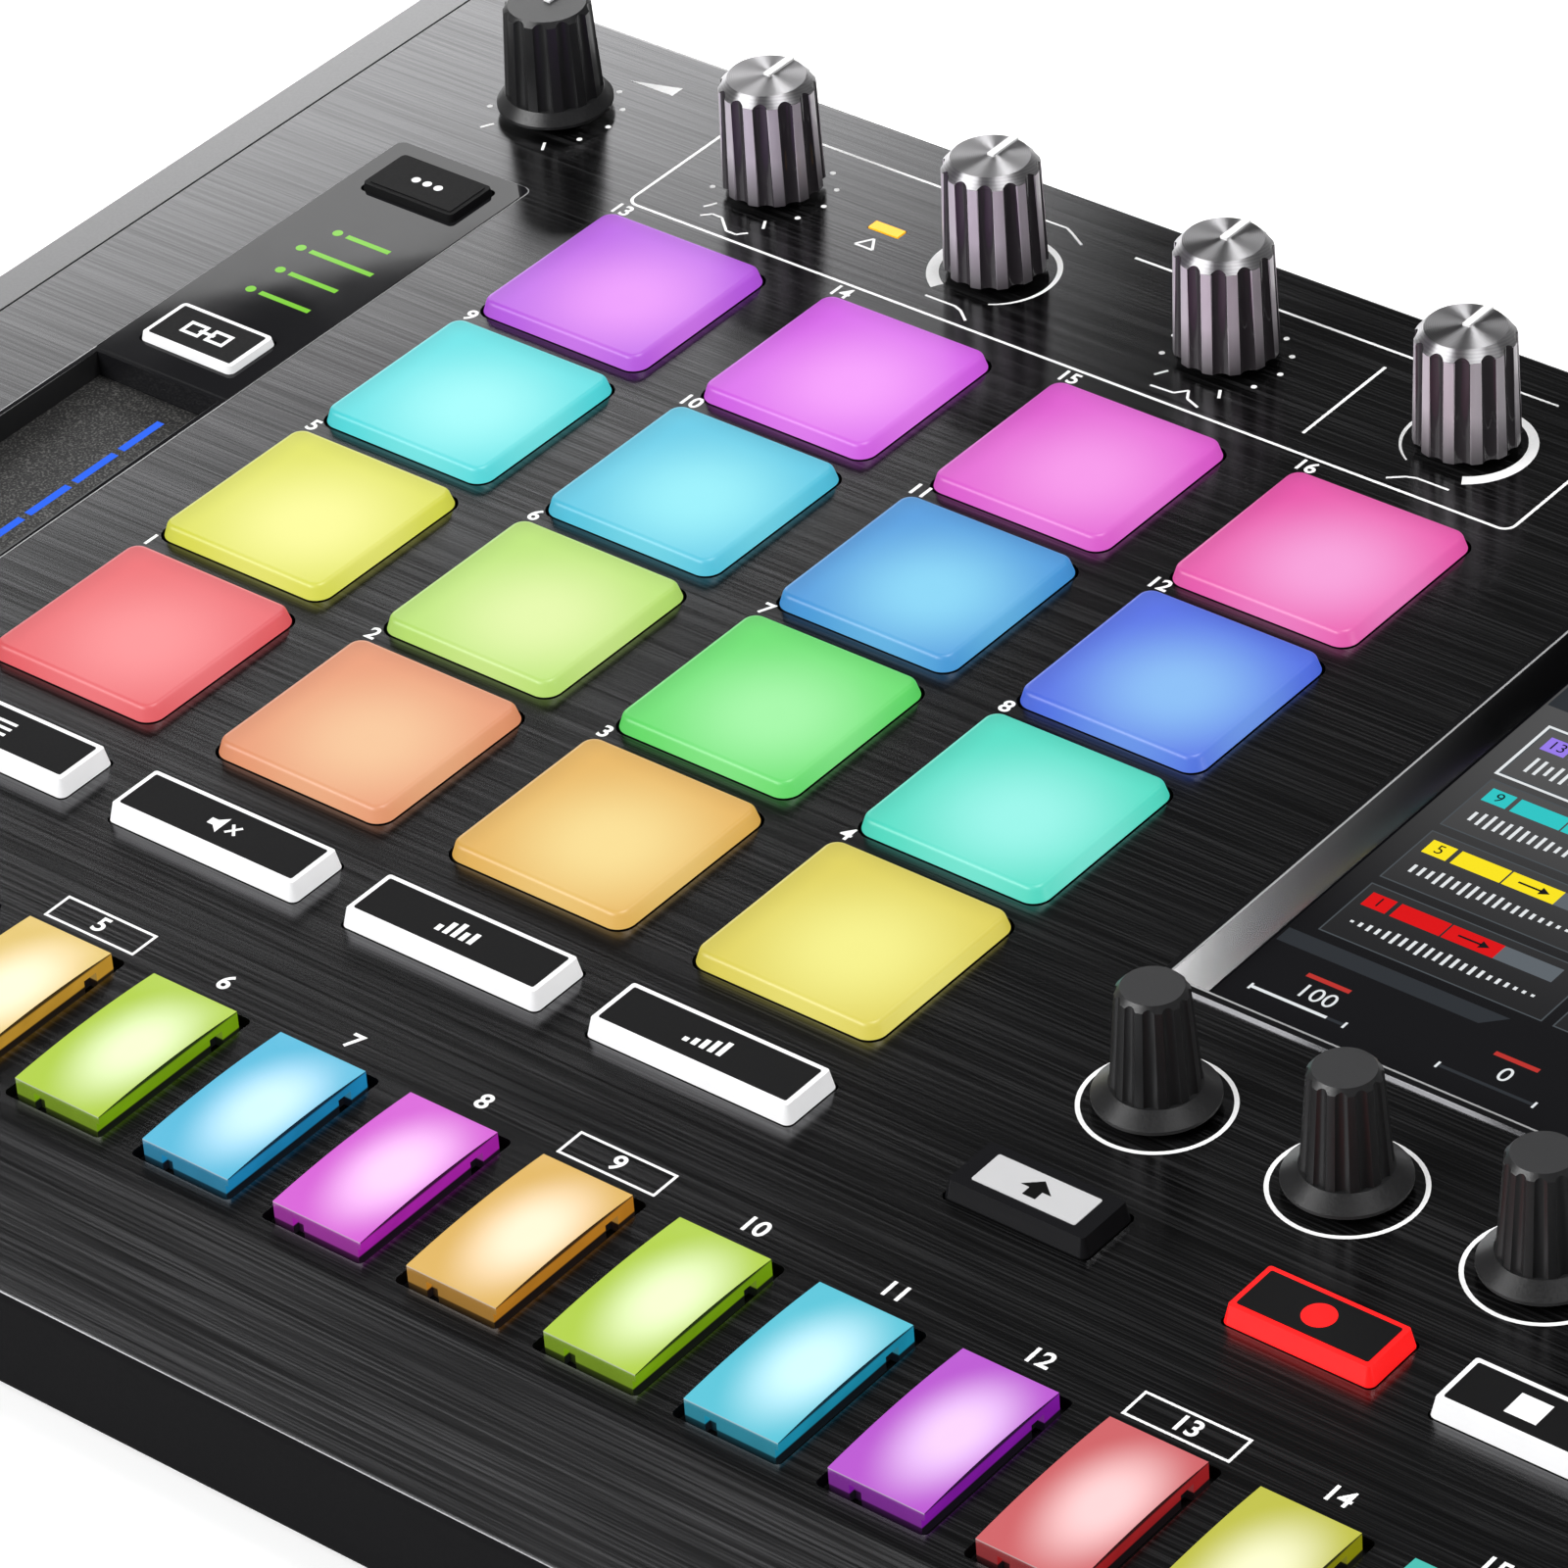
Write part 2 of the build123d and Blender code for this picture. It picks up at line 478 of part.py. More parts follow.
# Touch strip: housing with the sunk channel and the gloss window, and the sensor film on the channel's floor
with BuildPart() as touch_strip:
    with BuildSketch(on_panel(STRIP_U, STRIP_MID_V, STRIP_BOTTOM)):
        RectangleRounded(STRIP_WIDTH - 2 * STRIP_CLEARANCE, STRIP_LENGTH - 2 * STRIP_CLEARANCE, WINDOW_CORNER)
        with Locations((0, -STRIP_LENGTH / 2 + STRIP_CLEARANCE + WINDOW_CORNER)):
            Rectangle(STRIP_WIDTH - 2 * STRIP_CLEARANCE, 2 * WINDOW_CORNER)
    extrude(amount=WINDOW_RISE - STRIP_BOTTOM)
    with BuildSketch(on_panel(STRIP_U, STRIP_MID_V, -PANEL_THICKNESS - FIT)):
        Rectangle(STRIP_WIDTH + 2 * STRIP_FLANGE, STRIP_LENGTH + 2 * STRIP_FLANGE)
    extrude(amount=-STRIP_FLANGE_THICKNESS)
    with BuildSketch(on_panel(STRIP_U, CHANNEL_MID_V, WINDOW_RISE)):
        Rectangle(STRIP_WIDTH - 2 * STRIP_CLEARANCE - 2 * STRIP_WALL, CHANNEL_LENGTH - 2 * STRIP_WALL)
    extrude(amount=-(WINDOW_RISE + STRIP_DEPTH + STRIP_FILM), mode=Mode.SUBTRACT)
    with BuildSketch(on_panel(STRIP_U, BUTTON_FRONT_V)):
        with Locations((0, CHANNEL_LENGTH / 2)):
            Rectangle(STRIP_WIDTH, CHANNEL_LENGTH)
    extrude(amount=WINDOW_RISE, mode=Mode.SUBTRACT)
    with BuildSketch(on_panel(STRIP_U, WINDOW_FRONT_V + WINDOW_LENGTH / 2, STRIP_BOTTOM)):
        Rectangle(STRIP_WIDTH - 4 * STRIP_WALL, WINDOW_LENGTH - 4 * STRIP_WALL)
    extrude(amount=WINDOW_RISE - WINDOW_THICKNESS - STRIP_BOTTOM, mode=Mode.SUBTRACT)
    for u, v, width in STRIP_BUTTONS.values():
        with BuildSketch(on_panel(u, v)):
            RectangleRounded(width + 2 * BUTTON_CLEARANCE, BUTTON_HOLE_DEPTH, BUTTON_CORNER)
        extrude(amount=2 * WINDOW_THICKNESS, both=True, mode=Mode.SUBTRACT)
    with BuildSketch(on_panel(STRIP_U, CHANNEL_MID_V, -STRIP_DEPTH)):
        Rectangle(STRIP_WIDTH - 2 * STRIP_CLEARANCE - 2 * STRIP_WALL - 2 * FIT,
                  CHANNEL_LENGTH - 2 * STRIP_WALL - 2 * FIT)
    extrude(amount=-(STRIP_FILM - GLUE_LINE))
save(touch_strip.part, "touch_strip")

# Display: bezel with a raised rim and sloped walls, cover glass under it and the module behind the glass
with BuildPart() as display_module:
    with BuildSketch(on_panel(DISPLAY_U, DISPLAY_V)):
        Rectangle(DISPLAY_WIDTH, DISPLAY_DEPTH)
    extrude(amount=BEZEL_RIM_RISE)
    with BuildSketch(on_panel(DISPLAY_U, DISPLAY_V)):
        Rectangle(DISPLAY_WIDTH - 2 * BEZEL_DROP_INSET, DISPLAY_DEPTH - 2 * BEZEL_DROP_INSET)
    extrude(amount=-BEZEL_SINK)
    with BuildSketch(on_panel(DISPLAY_U, DISPLAY_V, BEZEL_RIM_RISE)):
        Rectangle(DISPLAY_WIDTH - 2 * BEZEL_RIM, DISPLAY_DEPTH - 2 * BEZEL_RIM)
    extrude(amount=-(BEZEL_SINK + BEZEL_RIM_RISE), mode=Mode.SUBTRACT,
            taper=degrees(atan(BEZEL_SLOPE / (BEZEL_SINK + BEZEL_RIM_RISE))))
    with BuildSketch(on_panel(DISPLAY_U, DISPLAY_V, GLASS_TOP)):
        Rectangle(DISPLAY_WIDTH - 2 * BEZEL_DROP_INSET, DISPLAY_DEPTH - 2 * BEZEL_DROP_INSET)
    extrude(amount=-GLASS_THICKNESS)
    with BuildSketch(on_panel(DISPLAY_U, DISPLAY_V, GLASS_TOP - GLASS_THICKNESS - GLUE_LINE)):
        Rectangle(DISPLAY_WIDTH - 2 * (BEZEL_SEAT + LCD_INSET), DISPLAY_DEPTH - 2 * (BEZEL_SEAT + LCD_INSET))
    extrude(amount=-LCD_THICKNESS)
save(display_module.part, "display_module")

# Circuit boards: panel board with the pot and encoder bodies and the lamp, and the main board on its bosses
with BuildPart() as circuit_boards:
    with BuildSketch(on_panel(0, BOARD_MID_V, -BOARD_SINK - FIT)):
        Rectangle(2 * (PANEL_HALF - BOARD_INSET), BOARD_LENGTH)
        with Locations((DISPLAY_U, DISPLAY_V - BOARD_MID_V)):
            Rectangle(DISPLAY_WIDTH + 2 * BOARD_MARGIN, DISPLAY_DEPTH + 2 * BOARD_MARGIN, mode=Mode.SUBTRACT)
    extrude(amount=-BOARD_THICKNESS)
    for u, v in (*KNOB_PLACES, *ENCODER_PLACES):
        with BuildSketch(on_panel(u, v, -BOARD_SINK)):
            Rectangle(POT_SIZE, POT_SIZE)
        extrude(amount=BOARD_SINK - PANEL_THICKNESS - POT_GAP)
        with BuildSketch(on_panel(u, v, -BOARD_SINK)):
            Circle(BUSH_RADIUS)
        extrude(amount=BOARD_SINK + BUSH_RISE)
        with BuildSketch(on_panel(u, v, -BOARD_SINK + SHAFT_FOOT)):
            Circle(SHAFT_RADIUS + SHAFT_FIT)
        extrude(amount=BOARD_SINK + BUSH_RISE, mode=Mode.SUBTRACT)
    with BuildSketch(on_panel(LAMP_U, KNOB_ROW_V, -BOARD_SINK)):
        Rectangle(LAMP_WIDTH, LAMP_DEPTH)
    extrude(amount=BOARD_SINK + LAMP_RISE)
    with BuildSketch(Plane.XY.offset(MAIN_BOARD_TOP)):
        with Locations((0, MAIN_BOARD_Y)):
            Rectangle(MAIN_BOARD_WIDTH, MAIN_BOARD_DEPTH)
        with Locations(*BOARD_SCREW_PLACES):
            Circle(SCREW_RADIUS + SCREW_CLEARANCE, mode=Mode.SUBTRACT)
    extrude(amount=-BOARD_THICKNESS)
save(circuit_boards.part, "circuit_boards")

# Rear sockets: jacks on the main board with bushes through the rear wall and nuts outside, and the inlet
socket_front = CASE_REAR_Y - CASE_WALL - FIT
with BuildPart() as rear_sockets:
    for x in (*JACK_XS, INLET_X):
        with Locations((x, socket_front - SOCKET_LENGTH / 2, SOCKET_Z)):
            Box(SOCKET_WIDTH, SOCKET_LENGTH, SOCKET_WIDTH)
        with BuildSketch(Plane.XZ.offset(-socket_front)):
            with Locations((x, SOCKET_Z)):
                Circle(SOCKET_BUSH)
        extrude(amount=-(CASE_WALL + 2 * FIT + SOCKET_NUT_THICKNESS))
        with BuildSketch(Plane.XZ.offset(-CASE_REAR_Y - FIT)):
            with Locations((x, SOCKET_Z)):
                RegularPolygon(SOCKET_NUT, 6)
        extrude(amount=-SOCKET_NUT_THICKNESS)
    mouth = CASE_REAR_Y + FIT + SOCKET_NUT_THICKNESS
    with BuildSketch(Plane.XZ.offset(-mouth)):
        with Locations(*[(x, SOCKET_Z) for x in JACK_XS]):
            Circle(JACK_BORE)
    extrude(amount=JACK_DEPTH, mode=Mode.SUBTRACT)
    with BuildSketch(Plane.XZ.offset(-mouth)):
        with Locations((INLET_X, SOCKET_Z)):
            Circle(INLET_BORE)
            Circle(INLET_PIN, mode=Mode.SUBTRACT)
    extrude(amount=INLET_DEPTH, mode=Mode.SUBTRACT)
save(rear_sockets.part, "rear_sockets")


def flange(u, v, width, depth, corner, underside=-PANEL_THICKNESS):
    """Retaining flange just under the sheet whose underside is given."""
    with BuildSketch(on_panel(u, v, underside - FLANGE_GAP)) as outline:
        RectangleRounded(width + 2 * FLANGE_REACH, depth + 2 * FLANGE_REACH, corner)
    extrude(outline.sketch, amount=-FLANGE_THICKNESS)


def make_pad(u, v):
    """Silicone pad: drafted top with soft edges, a stem down to the sensor and a flange under the panel."""
    stem = BOARD_SINK - PAD_TRAVEL - FLANGE_GAP
    with BuildPart() as pad:
        with BuildSketch(on_panel(u, v, -stem)):
            RectangleRounded(PAD_SIZE, PAD_SIZE, PAD_CORNER)
        extrude(amount=stem)
        with BuildSketch(on_panel(u, v)):
            RectangleRounded(PAD_SIZE, PAD_SIZE, PAD_CORNER)
        extrude(amount=PAD_HEIGHT, taper=degrees(atan(PAD_DRAFT / PAD_HEIGHT)))
        fillet(pad.faces().sort_by(normal)[-1].edges(), PAD_EDGE)
        flange(u, v, PAD_HOLE, PAD_HOLE, PAD_CORNER)
    return pad.part


def make_button(u, v, width, height=BUTTON_HEIGHT, underside=-PANEL_THICKNESS):
    """Push button: drafted translucent cap, a stem down to its switch and a flange under its sheet."""
    stem = BOARD_SINK - BUTTON_TRAVEL - FLANGE_GAP
    with BuildPart() as button:
        with BuildSketch(on_panel(u, v, -stem)):
            RectangleRounded(width, BUTTON_DEPTH, BUTTON_CORNER)
        extrude(amount=stem)
        with BuildSketch(on_panel(u, v)):
            RectangleRounded(width, BUTTON_DEPTH, BUTTON_CORNER)
        extrude(amount=height, taper=degrees(atan(BUTTON_DRAFT / BUTTON_HEIGHT)))
        flange(u, v, width + 2 * BUTTON_CLEARANCE, BUTTON_HOLE_DEPTH, BUTTON_CORNER, underside)
    return button.part


def make_key(u, v):
    """Step key: crowned cap over an inset skirt with legs and notches, and a flange under the panel."""
    key_side = Plane(origin=panel.from_local_coords((u, v, 0)), x_dir=panel.y_dir, z_dir=panel.x_dir)
    half = KEY_DEPTH / 2
    edge = KEY_EDGE_HEIGHT
    cap_low = edge - KEY_CAP_THICKNESS
    flange_top = -PANEL_THICKNESS - FLANGE_GAP
    stem = BOARD_SINK - KEY_TRAVEL - FLANGE_GAP
    leg_width = 2 * KEY_SKIRT_INSET
    leg_u = (KEY_WIDTH - leg_width) / 2
    leg_v = (KEY_DEPTH - KEY_LEG) / 2
    side_notch_u = KEY_WIDTH / 2 - KEY_SKIRT_INSET
    side_notch_v = half - KEY_LEG - KEY_NOTCH / 2
    end_notch_u = KEY_WIDTH / 2 - KEY_LEG - KEY_NOTCH / 2
    with BuildPart() as key:
        with BuildSketch(key_side):
            with BuildLine():
                Polyline((-half, edge), (-half, cap_low), (half, cap_low), (half, edge))
                ThreePointArc((half, edge), (0, edge + KEY_CROWN), (-half, edge))
            make_face()
        extrude(amount=KEY_WIDTH / 2, both=True)
        with BuildSketch(on_panel(u, v, -stem)):
            Rectangle(KEY_WIDTH - leg_width, KEY_DEPTH)
        extrude(amount=stem + cap_low)
        with BuildSketch(on_panel(u, v, flange_top)):
            with Locations((-leg_u, -leg_v), (leg_u, leg_v)):
                Rectangle(leg_width, KEY_LEG)
        extrude(amount=cap_low - flange_top)
        with BuildSketch(on_panel(u, v, flange_top)):
            with Locations((-end_notch_u, -half), (end_notch_u, half)):
                Rectangle(KEY_NOTCH, KEY_NOTCH)
            with Locations((side_notch_u, side_notch_v), (-side_notch_u, -side_notch_v)):
                Rectangle(KEY_NOTCH, KEY_NOTCH)
        extrude(amount=cap_low - flange_top, mode=Mode.SUBTRACT)
        flange(u, v, KEY_SLOT_WIDTH, KEY_SLOT_DEPTH, KEY_SLOT_CORNER)
    return key.part


def fluted_loft(u, v, levels):
    """Straight-sided fluted form through (height, radius) levels; the flutes shrink with the radius."""
    outlines = []
    for w, r in levels:
        with BuildSketch(on_panel(u, v, w)) as outline:
            Circle(r)
            with PolarLocations(r * (1 + FLUTE_RADIUS_SHARE - FLUTE_DEPTH_SHARE), FLUTE_COUNT):
                Circle(r * FLUTE_RADIUS_SHARE, mode=Mode.SUBTRACT)
        outlines.append(outline.sketch)
    loft(outlines, ruled=True)


def make_knob(u, v, radius, top_radius, height, lift, bevel, capped=False, pointer=False, flange_size=None):
    """Fluted knob on its turning shaft, with its own cap or a moulded top, a pointer and a cone flange."""
    shoulder = height - bevel / BEVEL_SLOPE
    reach = top_radius - bevel
    with BuildPart() as knob:
        if capped:
            fluted_loft(u, v, [(lift, radius), (shoulder - GLUE_LINE, top_radius)])
            fluted_loft(u, v, [(shoulder, top_radius), (height, top_radius)])
        else:
            fluted_loft(u, v, [(lift, radius), (shoulder, top_radius), (height, top_radius)])
        with BuildSketch(on_panel(u, v, lift)):
            Circle(reach + (height - lift) * BEVEL_SLOPE)
        extrude(amount=height - lift, taper=degrees(atan(BEVEL_SLOPE)), mode=Mode.INTERSECT)
        if pointer:
            with BuildSketch(on_panel(u, v, height)):
                with Locations((0, reach / 2)):
                    Rectangle(POINTER_WIDTH, reach)
            extrude(amount=POINTER_RISE)
        if flange_size:
            flange_radius, flange_rise = flange_size
            cone_rise = flange_rise - FLANGE_RIM
            with BuildSketch(on_panel(u, v, lift)):
                Circle(flange_radius)
            extrude(amount=FLANGE_RIM)
            with BuildSketch(on_panel(u, v, lift + FLANGE_RIM)):
                Circle(flange_radius)
            extrude(amount=cone_rise, taper=degrees(atan((flange_radius - radius) / cone_rise)))
        with BuildSketch(on_panel(u, v, lift)):
            Circle(SHAFT_RADIUS + KNOB_FIT)
        extrude(amount=SHAFT_RISE - lift + FIT, mode=Mode.SUBTRACT)
        shaft_low = SHAFT_FOOT + FIT - BOARD_SINK
        with BuildSketch(on_panel(u, v, shaft_low)):
            Circle(SHAFT_RADIUS)
        extrude(amount=SHAFT_RISE - shaft_low)
    return knob.part


# Sixteen pads, four rows of four from the front
for n, (u, v) in enumerate(PAD_PLACES, 1):
    save(make_pad(u, v), f"pad_{n:02d}")

# Sixteen step keys along the front edge
for n, (u, v) in enumerate(KEY_PLACES, 1):
    save(make_key(u, v), f"step_key_{n:02d}")

# Push buttons of the panel, and those of the strip's window
for name, (u, v, width) in BUTTONS.items():
    save(make_button(u, v, width), name)
for name, (u, v, width) in STRIP_BUTTONS.items():
    save(make_button(u, v, width, STRIP_BUTTON_HEIGHT, WINDOW_RISE - WINDOW_THICKNESS), name)

# Level knob behind the strip and filter knobs behind the pads
level_knob = make_knob(*KNOB_PLACES[0], MAIN_KNOB_RADIUS, MAIN_KNOB_TOP_RADIUS, MAIN_KNOB_HEIGHT,
                       MAIN_KNOB_LIFT, KNOB_BEVEL, pointer=True,
                       flange_size=(MAIN_KNOB_FLANGE_RADIUS, MAIN_KNOB_FLANGE_RISE))
save(level_knob, "main_level_knob")
for name, (u, v) in zip(FILTER_KNOBS, FILTER_KNOB_PLACES):
    filter_knob = make_knob(u, v, FILTER_KNOB_RADIUS, FILTER_KNOB_TOP_RADIUS, FILTER_KNOB_HEIGHT,
                            FILTER_KNOB_LIFT, FILTER_KNOB_BEVEL, capped=True, pointer=True)
    save(filter_knob, name)

# Encoders under the display
for n, (u, v) in enumerate(ENCODER_PLACES, 1):
    encoder = make_knob(u, v, ENCODER_RADIUS, ENCODER_TOP_RADIUS, ENCODER_HEIGHT, ENCODER_LIFT,
                        KNOB_BEVEL, flange_size=(ENCODER_FLANGE_RADIUS, ENCODER_FLANGE_RISE))
    save(encoder, f"encoder_{n}")
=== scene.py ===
from math import cos, hypot, pi, radians, sin

import bmesh
import bpy
from mathutils import Matrix, Vector


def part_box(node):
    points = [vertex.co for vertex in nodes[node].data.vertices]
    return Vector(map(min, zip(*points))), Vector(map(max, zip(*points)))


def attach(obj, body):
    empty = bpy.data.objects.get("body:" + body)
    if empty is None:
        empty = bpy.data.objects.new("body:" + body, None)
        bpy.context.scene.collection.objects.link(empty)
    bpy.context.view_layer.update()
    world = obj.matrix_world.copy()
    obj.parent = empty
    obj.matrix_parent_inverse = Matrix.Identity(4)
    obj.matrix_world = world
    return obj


# Looks of a desktop audio sampler: brushed black panel, lit silicone pads and step keys, fluted knobs,
# touch strip and sunk display. Sizes are in millimetres, and panel positions are (u, v, w):
# u from the middle to the right, v up the slope from the front bend, w above the panel.

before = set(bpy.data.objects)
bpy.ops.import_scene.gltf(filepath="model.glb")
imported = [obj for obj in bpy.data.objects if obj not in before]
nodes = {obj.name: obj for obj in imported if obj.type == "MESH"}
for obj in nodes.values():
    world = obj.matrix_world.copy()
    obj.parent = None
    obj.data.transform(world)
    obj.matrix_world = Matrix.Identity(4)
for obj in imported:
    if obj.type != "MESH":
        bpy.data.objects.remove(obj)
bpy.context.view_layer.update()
scene = bpy.context.scene

MM = 0.001
PANEL_TILT = radians(5.0)
BEND_HEIGHT = 32.0
SLOPE_REACH = 21.0
BEND_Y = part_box("side_rails")[0].y / MM + SLOPE_REACH
PANEL = Matrix.Translation((0, BEND_Y * MM, BEND_HEIGHT * MM)) @ Matrix.Rotation(PANEL_TILT, 4, "X")
TO_PANEL = PANEL.inverted()
PANEL_NORMAL = PANEL.to_3x3() @ Vector((0, 0, 1))
PANEL_LEVEL = PANEL_NORMAL.dot(PANEL.translation)
CHASSIS = "chassis"

# Printed and lit marks
PRINT_LIFT = 0.02
NUMBER_SIZE = 4.5
INK_SPREAD = 0.09
STEP_NUMBER_V = 40.5
STEP_BOX = (17.5, 5.5)
BEAT = 4
PAD_NUMBER_SIZE = 4.0
PAD_NUMBER_SHIFT = (-17.0, 20.1)
FINE_LINE = 0.45
CORNER_STEPS = 8

# Button faces
FACE_RIM = 0.85
FACE_CORNER = 0.3
FACE_THICKNESS = 0.12
SYMBOL_INK = 1
SYMBOL_LIFT = 0.02
ON_FACE = (SYMBOL_INK, SYMBOL_LIFT)

# Symbols on the button faces, measured from the middle of the face
BAR_PITCH = 1.5
BAR_WIDTH = 0.9
BAR_DROP = 1.6
SLICE_BARS = (1.4, 2.8, 3.4, 2.0, 2.6)
STEP_BARS = (0.9, 1.5, 2.1, 2.7, 3.3)
TRACK_LINE = (6.4, 0.6)
TRACK_LINE_PITCH = 1.4
SPEAKER = ((-2.6, -0.7), (-1.4, -0.7), (0, -1.9), (0, 1.9), (-1.4, 0.7), (-2.6, 0.7))
CROSS_STROKE = ((1.0, -0.9), (1.4, -1.2), (3.2, 0.9), (2.8, 1.2))
RECORD_RADIUS = 2.5
RECORD_SIDES = 40
STOP_SIZE = (5.0, 4.4)
PLAY_TRIANGLE = ((-2.0, -2.4), (2.6, 0), (-2.0, 2.4))
UP_ARROW = ((-2.6, -0.2), (-1.1, -0.2), (-1.1, -1.9), (1.1, -1.9), (1.1, -0.2), (2.6, -0.2), (0, 2.0))
LINK_SHIFT = 2.6
LINK_SIZE = (4.0, 3.4)
LINK_LINE = 0.7
LINK_BAR = (3.2, 0.7)
MODE_DOT_PITCH = 2.4
MODE_DOT_RADIUS = 0.8

# Levels and facings that tell a solid's regions apart, above or below the panel
LEVEL_SLACK = 0.05
TOP_SLACK = 0.01
FILM_SLACK = 0.06
FLAT_FACING = 0.9
BELOW_PANEL = -0.3
KEY_CAP_LEVEL = 0.45
KEY_CAP_FACING = 0.5
KEY_END_FACING = 0.8
KEY_SIDE_FACING = 0.1
KEY_FLANGE_LEVEL = -1.9
KEY_EDGE_LEVEL = 2.2
# Heights of the painted shade and highlight under a key cap's edge, and of the painted shade in the key's
# slot
KEY_EDGE_SHADE_AND_HIGHLIGHT_LEVELS = (1.9, 2.1)
KEY_SLOT_SHADE_LEVELS = (-0.75, -0.5)
KNOB_CAP_HEIGHT = 1.7
FLUTED_RADII = (8.5, 8.0)
FLUTED_FOOT = 1.6
FLUTE_FOOT_SHADE_TOP = 10.0
FLUTE_LAND_BAND = 0.1
CAP_FACING = 0.3
POINTER_RISE = 0.4
BOARD_FACE_LEVEL = -7.4
STRIP_FLOOR_LEVEL = -4.5
GLASS_LEVEL = -5.05
GLASS_SLACK = 0.02
BEZEL_RIM_LEVEL = 0.45
BEZEL_SIDE_FACING = 0.5
BEZEL_HIGHLIGHT_WIDTH = 0.35
BEZEL_INNER = ((50.0, 116.7), (205.0, 220.5))
EDGE_HIGHLIGHT_WIDTH = 0.22
STRIP_OPENING = ((-190.7, 60.0), (-162.1, 229.15))
STRIP_OPENING_CORNER = 1.5
LIP_FACING = -0.6
LIP_V = -5.0
WALL_FACING = 0.5
SHEET_UNDERSIDE = -2.2
SHEET_BACK_V = 272.0

PAD_RIMS = ("#e05a60", "#de9068", "#dcab52", "#d6c850", "#d2d448", "#b0d868", "#5cd462", "#48d4bc",
            "#4ad2d6", "#4cbcd8", "#3e90d2", "#4a68dc", "#b052da", "#cc58de", "#d856c8", "#e254a6")
PAD_HEARTS = ("#f38c8f", "#eec294", "#f2da90", "#f0ec88", "#f2f092", "#deeea4", "#a0f0a4", "#98f0e6",
              "#98f0ee", "#90e8f0", "#84d4f0", "#88c0f0", "#e490f0", "#ee98f2", "#f094e4", "#f2a2da")
KEY_COLOURS = {"red": "#d0666a", "olive": "#c2c24e", "teal": "#4cc0b4", "indigo": "#6b7fe0",
               "cream": "#e6c878", "lime": "#b4d250", "blue": "#62bfe0", "purple": "#d868d8",
               "amber": "#e2b868", "cyan": "#60c6da", "violet": "#bc5cd2"}
KEY_ORDER = ("red", "olive", "teal", "indigo", "cream", "lime", "blue", "purple",
             "amber", "lime", "cyan", "violet", "red", "olive", "teal", "indigo")
FILTER_KNOBS = ("drive_knob", "low_cutoff_knob", "resonance_knob", "high_cutoff_knob")
ENCODERS = [f"encoder_{n}" for n in range(1, 6)]
PADS = [f"pad_{n:02d}" for n in range(1, 17)]
KEYS = [f"step_key_{n:02d}" for n in range(1, 17)]


def srgb(code):
    """Linear colour of a hex code."""
    parts = [int(code[i:i + 2], 16) / 255 for i in (1, 3, 5)]
    return tuple(c / 12.92 if c <= 0.04045 else ((c + 0.055) / 1.055) ** 2.4 for c in parts)


def mixed(colour, other, share):
    """Colour moved a share of the way to another."""
    return tuple(a + (b - a) * share for a, b in zip(colour, other))


def scaled(colour, factor):
    """Colour with each channel multiplied."""
    return tuple(c * factor for c in colour)


WHITE = (1.0, 1.0, 1.0)
BLACK = (0.006, 0.006, 0.007)


def panel_box(node):
    """Lowest and highest panel coordinates of a node, in millimetres."""
    points = [TO_PANEL @ v.co / MM for v in nodes[node].data.vertices]
    low = Vector(tuple(min(p[i] for p in points) for i in range(3)))
    high = Vector(tuple(max(p[i] for p in points) for i in range(3)))
    return low, high


def panel_middle(node):
    """Panel position (u, v) of a node's middle."""
    low, high = panel_box(node)
    return (low.x + high.x) / 2, (low.y + high.y) / 2


def add_object(name, data):
    """New object in the scene."""
    made = bpy.data.objects.new(name, data)
    scene.collection.objects.link(made)
    return made


# Materials


def set_inputs(node, values):
    """Sets inputs of a node by name, with underscores for spaces."""
    for socket, value in values.items():
        node.inputs[socket.replace("_", " ")].default_value = value


